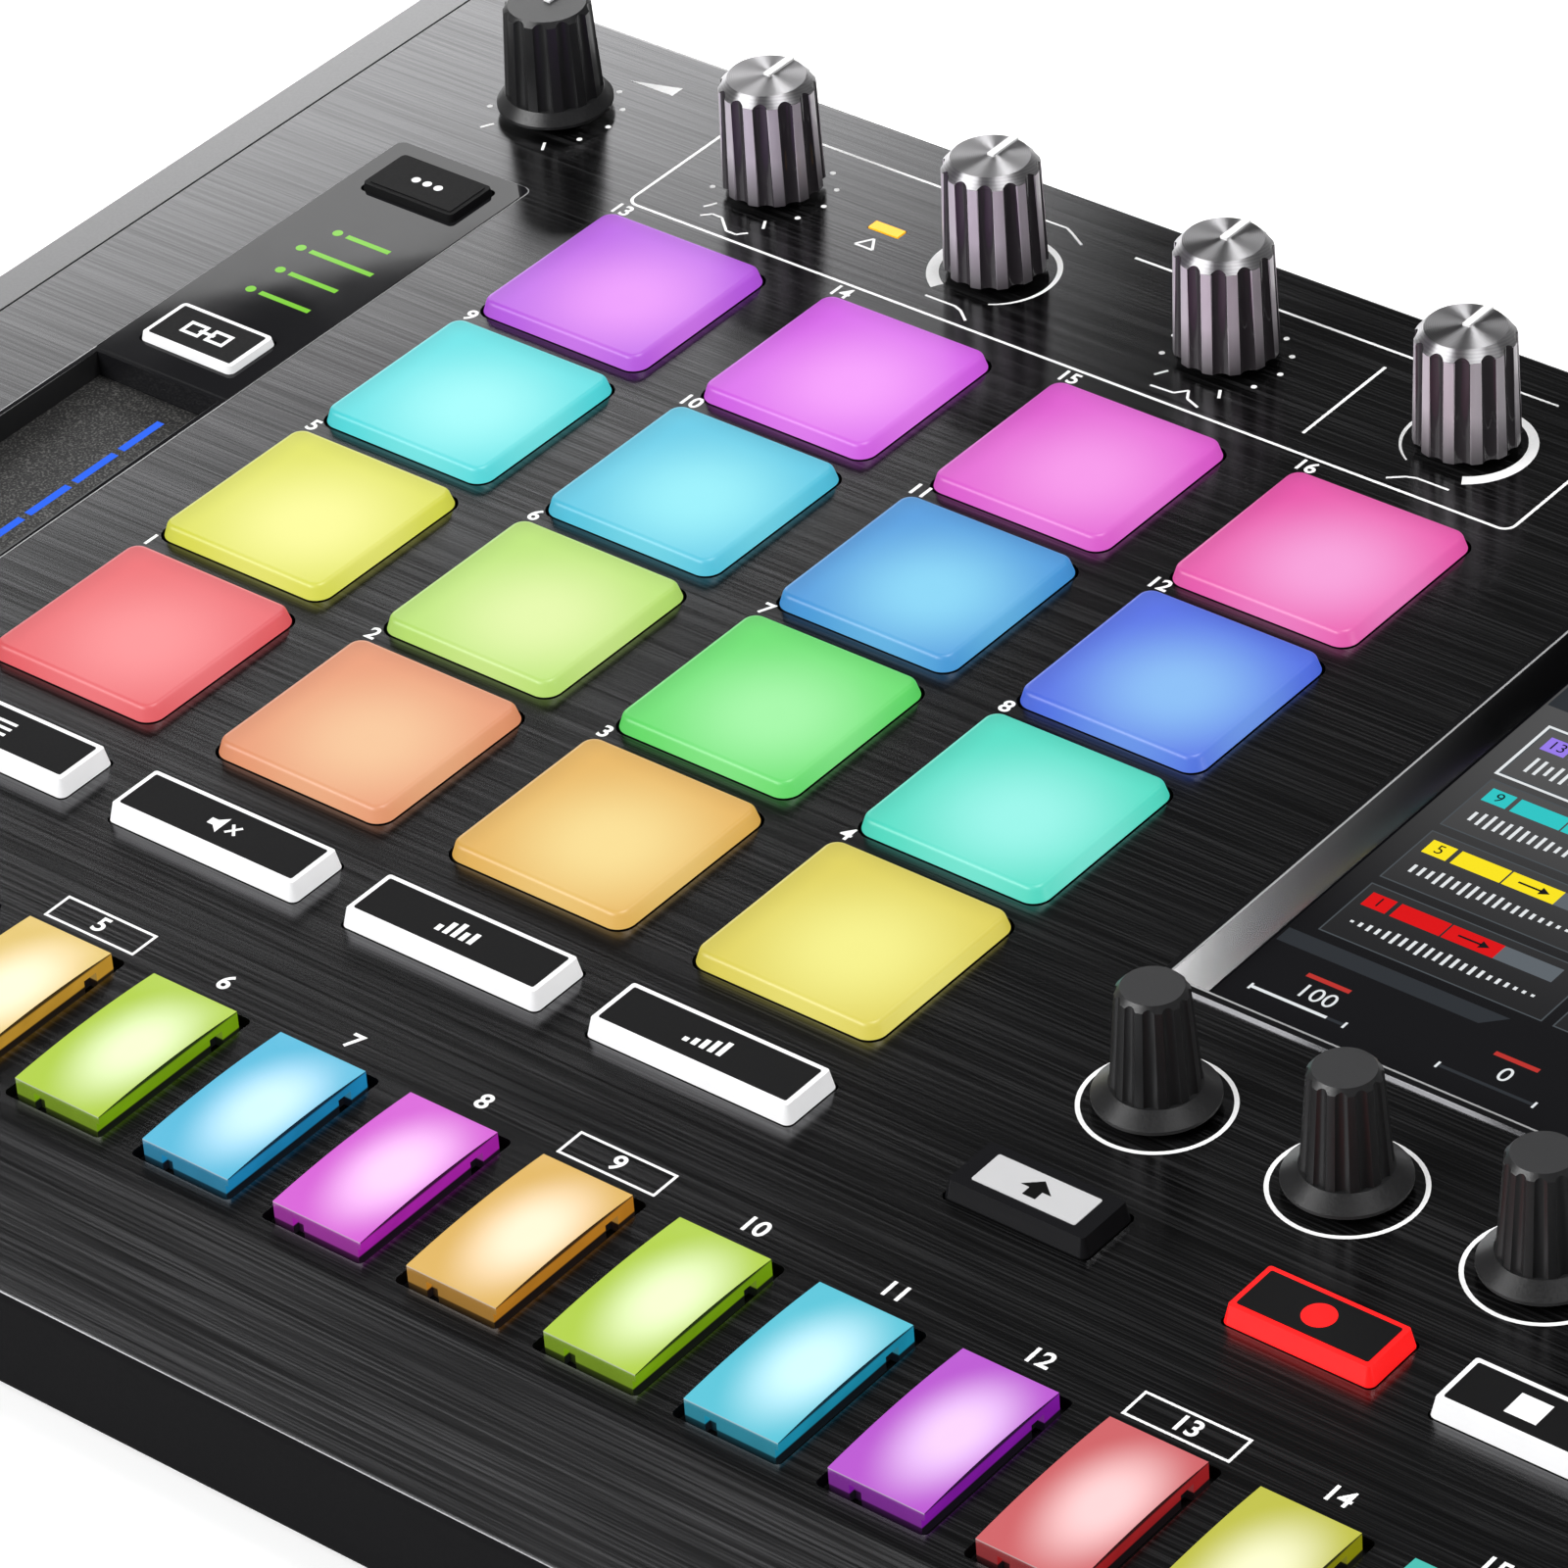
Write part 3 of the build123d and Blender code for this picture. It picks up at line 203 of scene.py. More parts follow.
class Paint:
    """A material with one Principled shader and short ways to add nodes to it."""

    def __init__(self, name, colour, roughness, metallic=0.0, **inputs):
        self.material = bpy.data.materials.new(name)
        self.material.use_nodes = True
        self.tree = self.material.node_tree
        self.shader = self.tree.nodes["Principled BSDF"]
        base = {"Base_Color": (*colour, 1), "Roughness": roughness, "Metallic": metallic}
        set_inputs(self.shader, {**base, **inputs})

    def node(self, kind, **inputs):
        """New node with some of its inputs set by name."""
        made = self.tree.nodes.new(kind)
        set_inputs(made, inputs)
        return made

    def link(self, output, target):
        self.tree.links.new(output, target)

    def to(self, output, socket):
        """Links an output to one of the shader's sockets."""
        self.link(output, self.shader.inputs[socket])

    def coords(self, kind, scale=(1, 1, 1)):
        """Texture coordinates of a kind, scaled."""
        source = self.node("ShaderNodeTexCoord")
        mapping = self.node("ShaderNodeMapping", Scale=scale)
        self.link(source.outputs[kind], mapping.inputs["Vector"])
        return mapping.outputs["Vector"]

    def noise(self, scale, detail=2.0):
        """Noise over object coordinates stretched by one scale, or by one for each axis."""
        made = self.node("ShaderNodeTexNoise", Scale=1.0, Detail=detail)
        scales = scale if isinstance(scale, tuple) else (scale,) * 3
        self.link(self.coords("Object", scales), made.inputs["Vector"])
        return made.outputs["Fac"]

    def ranged(self, output, low, high, to_low, to_high, smooth=False):
        """Value mapped from one range to another."""
        made = self.node("ShaderNodeMapRange", From_Min=low, From_Max=high, To_Min=to_low, To_Max=to_high)
        if smooth:
            made.interpolation_type = "SMOOTHSTEP"
        self.link(output, made.inputs["Value"])
        return made.outputs["Result"]

    def blend(self, factor, first, second):
        """Colour between two colours or colour outputs."""
        made = self.node("ShaderNodeMix")
        made.data_type = "RGBA"
        self.link(factor, made.inputs[0])
        for socket, value in ((6, first), (7, second)):
            if isinstance(value, tuple):
                made.inputs[socket].default_value = (*value, 1)
            else:
                self.link(value, made.inputs[socket])
        return made.outputs[2]

    def level(self, low, high, to_low, to_high):
        """Value that follows the height above the panel, between two heights in millimetres."""
        source = self.node("ShaderNodeTexCoord")
        along = self.node("ShaderNodeVectorMath")
        along.operation = "DOT_PRODUCT"
        along.inputs[1].default_value = PANEL_NORMAL
        self.link(source.outputs["Object"], along.inputs[0])
        start, end = PANEL_LEVEL + low * MM, PANEL_LEVEL + high * MM
        return self.ranged(along.outputs["Value"], start, end, to_low, to_high)

    def axis(self, output, name):
        """One axis of a vector output."""
        made = self.node("ShaderNodeSeparateXYZ")
        self.link(output, made.inputs["Vector"])
        return made.outputs[name]

    def distance(self, output, centre):
        """Distance of a vector output from a point."""
        made = self.node("ShaderNodeVectorMath")
        made.operation = "DISTANCE"
        made.inputs[1].default_value = centre
        self.link(output, made.inputs[0])
        return made.outputs["Value"]

    def tangent(self, axis):
        """Lets the stretched highlight run around an axis."""
        made = self.node("ShaderNodeTangent")
        made.axis = axis
        self.to(made.outputs["Tangent"], "Tangent")

    def product(self, first, second):
        """Product of two value outputs."""
        made = self.node("ShaderNodeMath")
        made.operation = "MULTIPLY"
        self.link(first, made.inputs[0])
        self.link(second, made.inputs[1])
        return made.outputs[0]

    def bump(self, height, strength, distance):
        """Surface relief from a height output; distance in millimetres."""
        made = self.node("ShaderNodeBump", Strength=strength, Distance=distance * MM)
        self.link(height, made.inputs["Height"])
        self.to(made.outputs["Normal"], "Normal")


def brushed_black():
    """Black anodised aluminium with hairlines along X."""
    paint = Paint("brushed_black", (0.11, 0.11, 0.113), 0.28, metallic=1.0, Anisotropic=0.75)
    fine = paint.noise((22, 2600, 2600), detail=4)
    broad = paint.noise((9, 700, 700))
    dark = paint.blend(paint.ranged(broad, 0.3, 0.7, 0, 1), (0.078, 0.078, 0.08), (0.094, 0.094, 0.096))
    hairlines = paint.blend(paint.ranged(fine, 0.35, 0.65, 0, 1), dark, (0.138, 0.138, 0.142))
    paint.to(hairlines, "Base Color")
    paint.to(paint.ranged(fine, 0.5, 0.62, 1.0, 0.945), "Metallic")
    paint.to(paint.ranged(fine, 0.3, 0.7, 0.18, 0.24), "Roughness")
    paint.bump(fine, 0.03, 0.02)
    paint.tangent("X")
    return paint.material


def satin_grey():
    """Bead-blasted grey of the side rails."""
    paint = Paint("satin_grey", (0.16, 0.16, 0.163), 0.32, metallic=0.9)
    grain = paint.noise(2200)
    paint.to(paint.blend(grain, (0.14, 0.14, 0.142), (0.18, 0.18, 0.183)), "Base Color")
    paint.bump(grain, 0.15, 0.02)
    return paint.material


def moulded_black(name, colour, roughness, grain_size, gloss=0.4):
    """Dark moulded plastic with a fine grain of a size in millimetres."""
    paint = Paint(name, colour, roughness, Specular_IOR_Level=gloss)
    grain = paint.noise(1 / (grain_size * MM))
    paint.to(paint.blend(grain, scaled(colour, 0.75), scaled(colour, 1.3)), "Base Color")
    paint.to(paint.ranged(grain, 0.3, 0.7, roughness - 0.06, roughness + 0.06), "Roughness")
    paint.bump(grain, 0.2, 0.03)
    return paint.material


def gloss_black(name="gloss_black", colour=(0.008, 0.008, 0.009)):
    """Polished black plastic or glass with faint handling marks."""
    paint = Paint(name, colour, 0.05, Specular_IOR_Level=0.22)
    smear = paint.noise(60, detail=4)
    paint.to(paint.ranged(smear, 0.3, 0.75, 0.03, 0.07), "Roughness")
    return paint.material


def metal(name, colour, roughness, grain=1500):
    """Bare or plated metal with a fine tool grain."""
    paint = Paint(name, colour, roughness, metallic=1.0)
    lines = paint.noise(grain)
    paint.to(paint.blend(lines, scaled(colour, 0.94), scaled(colour, 1.06)), "Base Color")
    paint.to(paint.ranged(lines, 0.3, 0.7, roughness * 0.92, roughness * 1.08), "Roughness")
    return paint.material


def lit_silicone(name, edge, heart):
    """Translucent silicone lit from below: pale around the middle, deeper at the rim and along the back."""
    paint = Paint(name, scaled(edge, 0.12), 0.42, Emission_Strength=0.9)
    place = paint.coords("Generated", (1, 1, 0))
    fade = paint.ranged(paint.distance(place, (0.6, 0.4, 0)), 0.05, 0.6, 0, 1, True)
    glow = paint.blend(fade, heart, edge)
    for axis, start, end in (("Y", 0.8, 0.98), ("X", 0.2, 0.02)):
        shade = paint.ranged(paint.axis(place, axis), start, end, 0, 0.42, True)
        glow = paint.blend(shade, glow, scaled(edge, 0.5))
    paint.to(glow, "Emission Color")
    skin = paint.noise(900)
    paint.bump(skin, 0.08, 0.02)
    return paint.material


def key_heart(colour):
    """Pale colour of a key where its light is strongest."""
    return mixed(scaled(colour, 1.6), WHITE, 0.6)


def lit_cap(name, colour):
    """Clear glossy key cap with a bright glow right of its middle and the key's colour around it."""
    paint = Paint(name, scaled(colour, 0.1), 0.2, Emission_Strength=1.0)
    place = paint.coords("Generated", (1, 1, 0))
    fade = paint.ranged(paint.distance(place, (0.6, 0.48, 0)), 0.07, 0.5, 0, 1, True)
    paint.to(paint.blend(fade, key_heart(colour), scaled(colour, 0.9)), "Emission Color")
    ripple = paint.noise(130)
    paint.to(paint.ranged(ripple, 0.3, 0.7, 0.14, 0.26), "Roughness")
    return paint.material


def lit_skirt(name, colour):
    """Deep-coloured side walls of a key, with painted shade: black in the slot and dark under the cap's edge.
    """
    deep = tuple(c * c for c in colour)
    paint = Paint(name, scaled(deep, 0.1), 0.3, Emission_Strength=0.7)
    cloud = paint.noise(160)
    lit = paint.blend(cloud, scaled(deep, 0.7), scaled(deep, 1.2))
    unshaded = paint.product(paint.level(*KEY_SLOT_SHADE_LEVELS, 0, 1),
                          paint.level(KEY_EDGE_SHADE_AND_HIGHLIGHT_LEVELS[0], KEY_EDGE_LEVEL, 1, 0.05))
    paint.to(paint.blend(unshaded, BLACK, lit), "Emission Color")
    return paint.material


def lit_front(name, colour):
    """Front and back walls of a key, lit down into the slot and painted black as shade deeper in it, with a
    painted highlight along the cap's edge.
    """
    body = mixed(tuple(c * c for c in colour), colour, 0.45)
    paint = Paint(name, scaled(body, 0.1), 0.2, Emission_Strength=0.45)
    cloud = paint.noise(160)
    lit = paint.blend(cloud, scaled(body, 0.75), body)
    highlighted = paint.blend(paint.level(*KEY_EDGE_SHADE_AND_HIGHLIGHT_LEVELS, 0, 1), lit, key_heart(colour))
    paint.to(paint.blend(paint.level(*KEY_SLOT_SHADE_LEVELS, 0, 1), BLACK, highlighted), "Emission Color")
    return paint.material


def lit_plastic(name, colour, strength):
    """Evenly lit translucent plastic with a slight cloud in it."""
    paint = Paint(name, scaled(colour, 0.5), 0.3, Emission_Strength=strength)
    cloud = paint.noise(220)
    paint.to(paint.blend(cloud, scaled(colour, 0.86), colour), "Emission Color")
    return paint.material


def printed(name, colour):
    """Screen ink with a slightly uneven coat, for print and for painted highlight lines."""
    paint = Paint(name, colour, 0.55)
    mottle = paint.noise(1800)
    paint.to(paint.blend(mottle, scaled(colour, 0.86), colour), "Base Color")
    return paint.material


def screen_light(name, colour):
    """Lit pixels behind gloss glass, in a fine grid of rows."""
    paint = Paint(name, BLACK, 0.08, Specular_IOR_Level=0.2, Emission_Strength=1.0)
    rows = paint.noise(4000, detail=1)
    paint.to(paint.blend(rows, scaled(colour, 0.92), colour), "Emission Color")
    return paint.material


def screen_field(name, front, back):
    """Backlit dark field of the display that goes from one grey at the front to another at the back."""
    paint = Paint(name, BLACK, 0.08, Specular_IOR_Level=0.2, Emission_Strength=1.0)
    rise = paint.ranged(paint.axis(paint.coords("Generated"), "Y"), 0.2, 0.95, 0, 1, True)
    paint.to(paint.blend(rise, (front,) * 3, (back,) * 3), "Emission Color")
    return paint.material


def sparkle_film():
    """Dark textured sensor film with bright specks."""
    paint = Paint("sensor_film", (0.022, 0.022, 0.022), 0.5)
    specks = paint.noise(2600, detail=1)
    bright = paint.ranged(specks, 0.5, 0.75, 0, 1)
    paint.to(paint.blend(bright, (0.004, 0.004, 0.004), (0.085, 0.082, 0.078)), "Base Color")
    paint.to(paint.ranged(specks, 0.35, 0.7, 0.75, 0.45), "Roughness")
    paint.bump(specks, 0.5, 0.06)
    return paint.material


def spun_aluminium():
    """Lathe-turned knob cap with rings and a stretched highlight."""
    paint = Paint("spun_aluminium", (0.36, 0.355, 0.365), 0.42, metallic=1.0, Anisotropic=0.95,
                  Anisotropic_Rotation=0.25)
    centred = paint.node("ShaderNodeMapping", Location=(-0.5, -0.5, 0), Scale=(1, 1, 0))
    paint.link(paint.coords("Generated"), centred.inputs["Vector"])
    rings = paint.node("ShaderNodeTexWave", Scale=16.0, Distortion=0.6, Detail=1.0)
    rings.wave_type = "RINGS"
    rings.rings_direction = "Z"
    paint.link(centred.outputs["Vector"], rings.inputs["Vector"])
    paint.to(paint.ranged(rings.outputs["Fac"], 0, 1, 0.38, 0.46), "Roughness")
    paint.to(paint.blend(rings.outputs["Fac"], (0.32, 0.315, 0.325), (0.4, 0.395, 0.405)), "Base Color")
    paint.tangent("Z")
    return paint.material


def satin_lilac():
    """Glossy lilac-grey lands between the flutes of a filter knob, with painted shade that darkens them
    towards the panel.
    """
    paint = Paint("flute_land", (0.46, 0.43, 0.46), 0.3)
    cloud = paint.noise((300, 300, 60))
    lit = paint.blend(cloud, (0.36, 0.335, 0.36), (0.56, 0.525, 0.56))
    rise = paint.level(FLUTED_FOOT, FLUTE_FOOT_SHADE_TOP, 0, 1)
    paint.to(paint.blend(rise, (0.07, 0.065, 0.07), lit), "Base Color")
    return paint.material


def plated_side_wall():
    """Plated side walls of the display's bezel, with painted light: bright at the front and shaded darker
    towards the back.
    """
    paint = Paint("side_wall_shaded", (0.2, 0.2, 0.205), 0.16, metallic=1.0)
    rise = paint.ranged(paint.axis(paint.coords("Generated"), "Y"), 0.05, 0.75, 0, 1)
    paint.to(paint.blend(rise, (0.4, 0.4, 0.405), (0.05, 0.05, 0.052)), "Base Color")
    return paint.material


INK_WHITE = printed("ink_white", (0.88, 0.88, 0.88))
# Painted highlight: the grey line drawn along the edges of the strip opening and the display bezel.
EDGE_HIGHLIGHT = printed("edge_highlight", (0.3, 0.3, 0.305))
PANEL_BLACK = brushed_black()
# Painted shade: black for the parts of pads, keys and buttons that sink into the panel's openings.
SLOT_SHADE = moulded_black("shadow_black", (0.004, 0.004, 0.004), 0.7, 0.4, 0.05)
CASE_BLACK = moulded_black("case_black", (0.004, 0.004, 0.0045), 0.7, 0.5, 0.05)
GLOSS_BLACK = gloss_black()
FACE_BLACK = gloss_black("face_black", (0.006, 0.006, 0.006))
KNOB_BLACK = moulded_black("knob_black", (0.013, 0.013, 0.0135), 0.34, 0.3, 0.3)
KNOB_TOP_GREY = moulded_black("knob_top_grey", (0.026, 0.026, 0.027), 0.4, 0.3)
MATT_BLACK = moulded_black("matt_black", (0.006, 0.006, 0.0063), 0.6, 0.4, 0.07)
# Painted shade: a darker copy of the knob's body for the faces inside its flutes.
FLUTE_GROOVE_SHADE = gloss_black("flute_groove_shade", (0.035, 0.032, 0.035))
FLUTE_LAND = satin_lilac()
SPUN = spun_aluminium()
STEEL = metal("steel", (0.5, 0.5, 0.51), 0.3)
WALL_METAL = metal("wall_metal", (0.42, 0.42, 0.43), 0.24, 30)
SIDE_WALL_SHADED = plated_side_wall()
STRIP_WALL = moulded_black("strip_wall", (0.02, 0.02, 0.021), 0.4, 0.5)
RUBBER = moulded_black("rubber", (0.014, 0.014, 0.014), 0.8, 0.6)
BOARD_GREEN = moulded_black("board_green", (0.012, 0.09, 0.035), 0.4, 0.8)
LIT_WHITE = lit_plastic("lit_white", (0.93, 0.93, 0.94), 0.55)
LIT_PATCH = lit_plastic("lit_patch", (0.62, 0.62, 0.63), 0.4)
LIT_RED = lit_plastic("lit_red", srgb("#ff1c1c"), 0.8)
LAMP_AMBER = lit_plastic("lamp_amber", srgb("#ffb81e"), 0.9)
LIT_GREEN = screen_light("lit_green", srgb("#7ed321"))
LIT_BLUE = screen_light("lit_blue", srgb("#2f6dff"))


def paint_node(node, materials, choose):
    """Gives a node its materials; choose maps a face's panel middle and normal to one of them."""
    mesh = nodes[node].data
    mesh.materials.clear()
    for material in materials:
        mesh.materials.append(material)
    turn = TO_PANEL.to_3x3()
    for face in mesh.polygons:
        face.material_index = choose(TO_PANEL @ face.center / MM, turn @ face.normal)


def one_finish(place, normal):
    """The first material all over."""
    return 0


def shown_or_hidden(place, normal):
    """The first material above the panel, the second, a painted shade, in its opening."""
    return 0 if place.z > BELOW_PANEL else 1


# Flat drawings on the panel and on the pieces that it carries


class Drawing:
    """Flat shapes in panel millimetres at one height, gathered into a single piece with several inks."""

    def __init__(self, height):
        self.height = height
        self.mesh = bmesh.new()

    def polygon(self, points, ink=0, lift=0.0):
        """Flat face, turned up."""
        corners = [self.mesh.verts.new(Vector((u, v, self.height + lift)) * MM) for u, v in points]
        face = self.mesh.faces.new(corners)
        face.material_index = ink
        face.normal_update()
        if face.normal.z < 0:
            face.normal_flip()

    def slab(self, points, thickness):
        """Polygon with walls down to a thickness below it."""
        self.polygon(points)
        top = [Vector((u, v, self.height)) * MM for u, v in points]
        drop = Vector((0, 0, thickness)) * MM
        for first, second in zip(top, top[1:] + top[:1]):
            corners = [self.mesh.verts.new(p) for p in (first, first - drop, second - drop, second)]
            self.mesh.faces.new(corners)

    def rectangle(self, low, high, ink=0, lift=0.0):
        (u0, v0), (u1, v1) = low, high
        self.polygon([(u0, v0), (u1, v0), (u1, v1), (u0, v1)], ink, lift)

    def line(self, start, end, width):
        a, b = Vector(start), Vector(end)
        side = (b - a).normalized().orthogonal() * (width / 2)
        self.polygon([a - side, b - side, b + side, a + side])

    def path(self, points, width):
        for start, end in zip(points, points[1:]):
            self.line(start, end, width)

    def outline(self, low, high, width, ink=0, lift=0.0):
        """Frame of four strips just inside a rectangle."""
        (u0, v0), (u1, v1) = low, high
        self.rectangle((u0, v0), (u1, v0 + width), ink, lift)
        self.rectangle((u0, v1 - width), (u1, v1), ink, lift)
        self.rectangle((u0, v0 + width), (u0 + width, v1 - width), ink, lift)
        self.rectangle((u1 - width, v0 + width), (u1, v1 - width), ink, lift)

    def arc(self, centre, radius, start, end, widths, steps):
        """Band along an arc in degrees, whose width runs from the first to the second of widths."""
        inner, outer = [], []
        for i in range(steps + 1):
            angle = radians(start + (end - start) * i / steps)
            half = (widths[0] + (widths[1] - widths[0]) * i / steps) / 2
            direction = Vector((cos(angle), sin(angle)))
            inner.append(Vector(centre) + direction * (radius - half))
            outer.append(Vector(centre) + direction * (radius + half))
        for i in range(steps):
            self.polygon([inner[i], outer[i], outer[i + 1], inner[i + 1]])

    def disc(self, centre, radius, ink=0, lift=0.0, sides=24):
        angles = [2 * pi * i / sides for i in range(sides)]
        u, v = centre
        self.polygon([(u + radius * cos(a), v + radius * sin(a)) for a in angles], ink, lift)

    def number(self, value, centre, size, ink=0, lift=0.0, spread=0.0):
        """Plain number centred on a position, with strokes widened by a spread."""
        curve = bpy.data.curves.new("number", "FONT")
        curve.body = str(value)
        curve.size = size * MM
        curve.offset = spread * MM
        curve.align_x = "CENTER"
        curve.align_y = "CENTER"
        holder = bpy.data.objects.new("number", curve)
        flat = bpy.data.meshes.new_from_object(holder)
        shift = Vector((centre[0], centre[1], self.height + lift)) * MM
        first = len(self.mesh.faces)
        flat.transform(Matrix.Translation(shift))
        self.mesh.from_mesh(flat)
        self.mesh.faces.ensure_lookup_table()
        for face in self.mesh.faces[first:]:
            face.material_index = ink
        bpy.data.objects.remove(holder)
        bpy.data.curves.remove(curve)
        bpy.data.meshes.remove(flat)

    def finish(self, name, materials, body):
        """Makes the piece and lets it ride on a body."""
        mesh = bpy.data.meshes.new(name)
        self.mesh.to_mesh(mesh)
        self.mesh.free()
        for material in materials:
            mesh.materials.append(material)
        piece = add_object(name, mesh)
        piece.matrix_world = PANEL
        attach(piece, body)


def rounded(low, high, radius, steps=4):
    """Corner points of a rounded rectangle."""
    (u0, v0), (u1, v1) = low, high
    points = []
    for cu, cv, first in ((u1 - radius, v1 - radius, 0), (u0 + radius, v1 - radius, 90),
                          (u0 + radius, v0 + radius, 180), (u1 - radius, v0 + radius, 270)):
        for i in range(steps + 1):
            angle = radians(first + 90 * i / steps)
            points.append((cu + radius * cos(angle), cv + radius * sin(angle)))
    return points


def moved(points, u, v=0.0):
    """Points shifted along the panel."""
    return [(u + x, v + y) for x, y in points]


def inset(low, high, by):
    """Corners of a rectangle made smaller on each side, or larger by a negative amount."""
    return (low[0] + by, low[1] + by), (high[0] - by, high[1] - by)


def around(u, v, size):
    """Corners of a rectangle of a size round a middle."""
    return (u - size[0] / 2, v - size[1] / 2), (u + size[0] / 2, v + size[1] / 2)


# Case, rails, feet and sockets


def dress_case():
    def sheet_or_edge(place, normal):
        """The brushed sheet, or its front lip and the walls of its openings."""
        # The front lip takes case black as painted shade, in place of the brushed sheet that bends down
        # there.
        if normal.y < LIP_FACING and place.y < LIP_V:
            return 1
        wall = abs(normal.z) < WALL_FACING and place.z > SHEET_UNDERSIDE and place.y < SHEET_BACK_V
        return 1 if wall else 0

    paint_node("top_panel", [PANEL_BLACK, CASE_BLACK], sheet_or_edge)
    paint_node("lower_case", [CASE_BLACK], one_finish)
    paint_node("side_rails", [satin_grey()], one_finish)


def dress_feet_and_sockets():
    case_low, case_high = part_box("lower_case")

    def foot_or_screw(place, normal):
        return 0 if (PANEL @ (place * MM)).z < case_low.z else 1

    def body_or_nut(place, normal):
        return 1 if (PANEL @ (place * MM)).y > case_high.y else 0

    paint_node("feet_and_screws", [RUBBER, STEEL], foot_or_screw)
    paint_node("rear_sockets", [KNOB_BLACK, STEEL], body_or_nut)


# Pads, step keys and buttons


def dress_pads():
    for node, rim, heart in zip(PADS, PAD_RIMS, PAD_HEARTS):
        paint_node(node, [lit_silicone(f"silicone_{node}", srgb(rim), srgb(heart)), SLOT_SHADE], shown_or_hidden)


def dress_keys():
    paints = {}
    for name, code in KEY_COLOURS.items():
        colour = srgb(code)
        paints[name] = [lit_cap(f"cap_{name}", colour), lit_skirt(f"skirt_{name}", colour), SLOT_SHADE,
                        lit_front(f"front_{name}", colour)]

    def cap_skirt_flange_or_front(place, normal):
        if place.z > KEY_CAP_LEVEL and normal.z > KEY_CAP_FACING:
            return 0
        if abs(normal.y) > KEY_END_FACING:
            return 3
        # Below the panel a key's flange is painted shade black, not the key's colour.
        return 1 if place.z > KEY_FLANGE_LEVEL or abs(normal.z) < KEY_SIDE_FACING else 2

    for node, name in zip(KEYS, KEY_ORDER):
        paint_node(node, paints[name], cap_skirt_flange_or_front)


def face_rectangle(node):
    """Low and high corners of a button's top face, less its rim, and the face's height."""
    u, v = panel_middle(node)
    points = [TO_PANEL @ p.co / MM for p in nodes[node].data.vertices]
    height = max(p.z for p in points)
    top = [p for p in points if p.z > height - TOP_SLACK]
    half_u = max(abs(p.x - u) for p in top) - FACE_RIM
    half_v = max(abs(p.y - v) for p in top) - FACE_RIM
    return (u - half_u, v - half_v), (u + half_u, v + half_v), height


def draw_bars(drawing, u, v, heights):
    """Row of upright bars standing on one line."""
    for i, height in enumerate(heights):
        left = u + (i - len(heights) / 2) * BAR_PITCH
        drawing.rectangle((left, v - BAR_DROP), (left + BAR_WIDTH, v - BAR_DROP + height), *ON_FACE)


def symbol_lines(drawing, u, v):
    for step in (-1, 0, 1):
        drawing.rectangle(*around(u, v + step * TRACK_LINE_PITCH, TRACK_LINE), *ON_FACE)


def symbol_muted(drawing, u, v):
    drawing.polygon(moved(SPEAKER, u, v), *ON_FACE)
    for slope in (1, -1):
        stroke = [(x, y * slope) for x, y in CROSS_STROKE]
        drawing.polygon(moved(stroke, u, v), *ON_FACE)


def symbol_slices(drawing, u, v):
    draw_bars(drawing, u, v, SLICE_BARS)


def symbol_steps(drawing, u, v):
    draw_bars(drawing, u, v, STEP_BARS)


def symbol_dot(drawing, u, v):
    drawing.disc((u, v), RECORD_RADIUS, *ON_FACE, sides=RECORD_SIDES)


def symbol_square(drawing, u, v):
    drawing.rectangle(*around(u, v, STOP_SIZE), *ON_FACE)


def symbol_triangle(drawing, u, v):
    drawing.polygon(moved(PLAY_TRIANGLE, u, v), *ON_FACE)


def symbol_arrow(drawing, u, v):
    drawing.polygon(moved(UP_ARROW, u, v), *ON_FACE)


def symbol_link(drawing, u, v):
    for side in (-1, 1):
        drawing.outline(*around(u + side * LINK_SHIFT, v, LINK_SIZE), LINK_LINE, *ON_FACE)
    drawing.rectangle(*around(u, v, LINK_BAR), SYMBOL_INK, 2 * SYMBOL_LIFT)


def symbol_mode(drawing, u, v):
    for step in (-1, 0, 1):
        drawing.disc((u + step * MODE_DOT_PITCH, v), MODE_DOT_RADIUS, *ON_FACE)


WHITE_LOOK = (LIT_WHITE, INK_WHITE, "button_white")
BUTTON_LOOKS = {
    "track_button": (symbol_lines, *WHITE_LOOK),
    "mute_button": (symbol_muted, *WHITE_LOOK),
    "slice_button": (symbol_slices, *WHITE_LOOK),
    "scale_button": (symbol_steps, *WHITE_LOOK),
    "record_button": (symbol_dot, LIT_RED, LIT_RED, "button_red"),
    "stop_button": (symbol_square, *WHITE_LOOK),
    "play_button": (symbol_triangle, *WHITE_LOOK),
    "hold_button": (symbol_link, *WHITE_LOOK),
    "mode_button": (symbol_mode, MATT_BLACK, INK_WHITE, "button_black")}
SHIFT_PATCH = (17.6, 6.4)


def dress_buttons():
    for node, (symbol, body, ink, slot) in BUTTON_LOOKS.items():
        paint_node(node, [body, SLOT_SHADE], shown_or_hidden)
        low, high, height = face_rectangle(node)
        face = Drawing(height + FACE_THICKNESS)
        face.slab(rounded(low, high, FACE_CORNER), FACE_THICKNESS)
        symbol(face, *panel_middle(node))
        face.finish(f"{node}_face", [MATT_BLACK, ink], node)


def dress_shift():
    """Black button whose lit patch carries an up arrow."""
    node = "shift_button"
    paint_node(node, [GLOSS_BLACK, SLOT_SHADE], shown_or_hidden)
    u, v = panel_middle(node)
    patch = Drawing(panel_box(node)[1].z + FACE_THICKNESS)
    patch.slab(rounded(*around(u, v, SHIFT_PATCH), FACE_CORNER), FACE_THICKNESS)
    symbol_arrow(patch, u, v)
    patch.finish("shift_button_patch", [LIT_PATCH, FACE_BLACK], node)


# Knobs and encoders


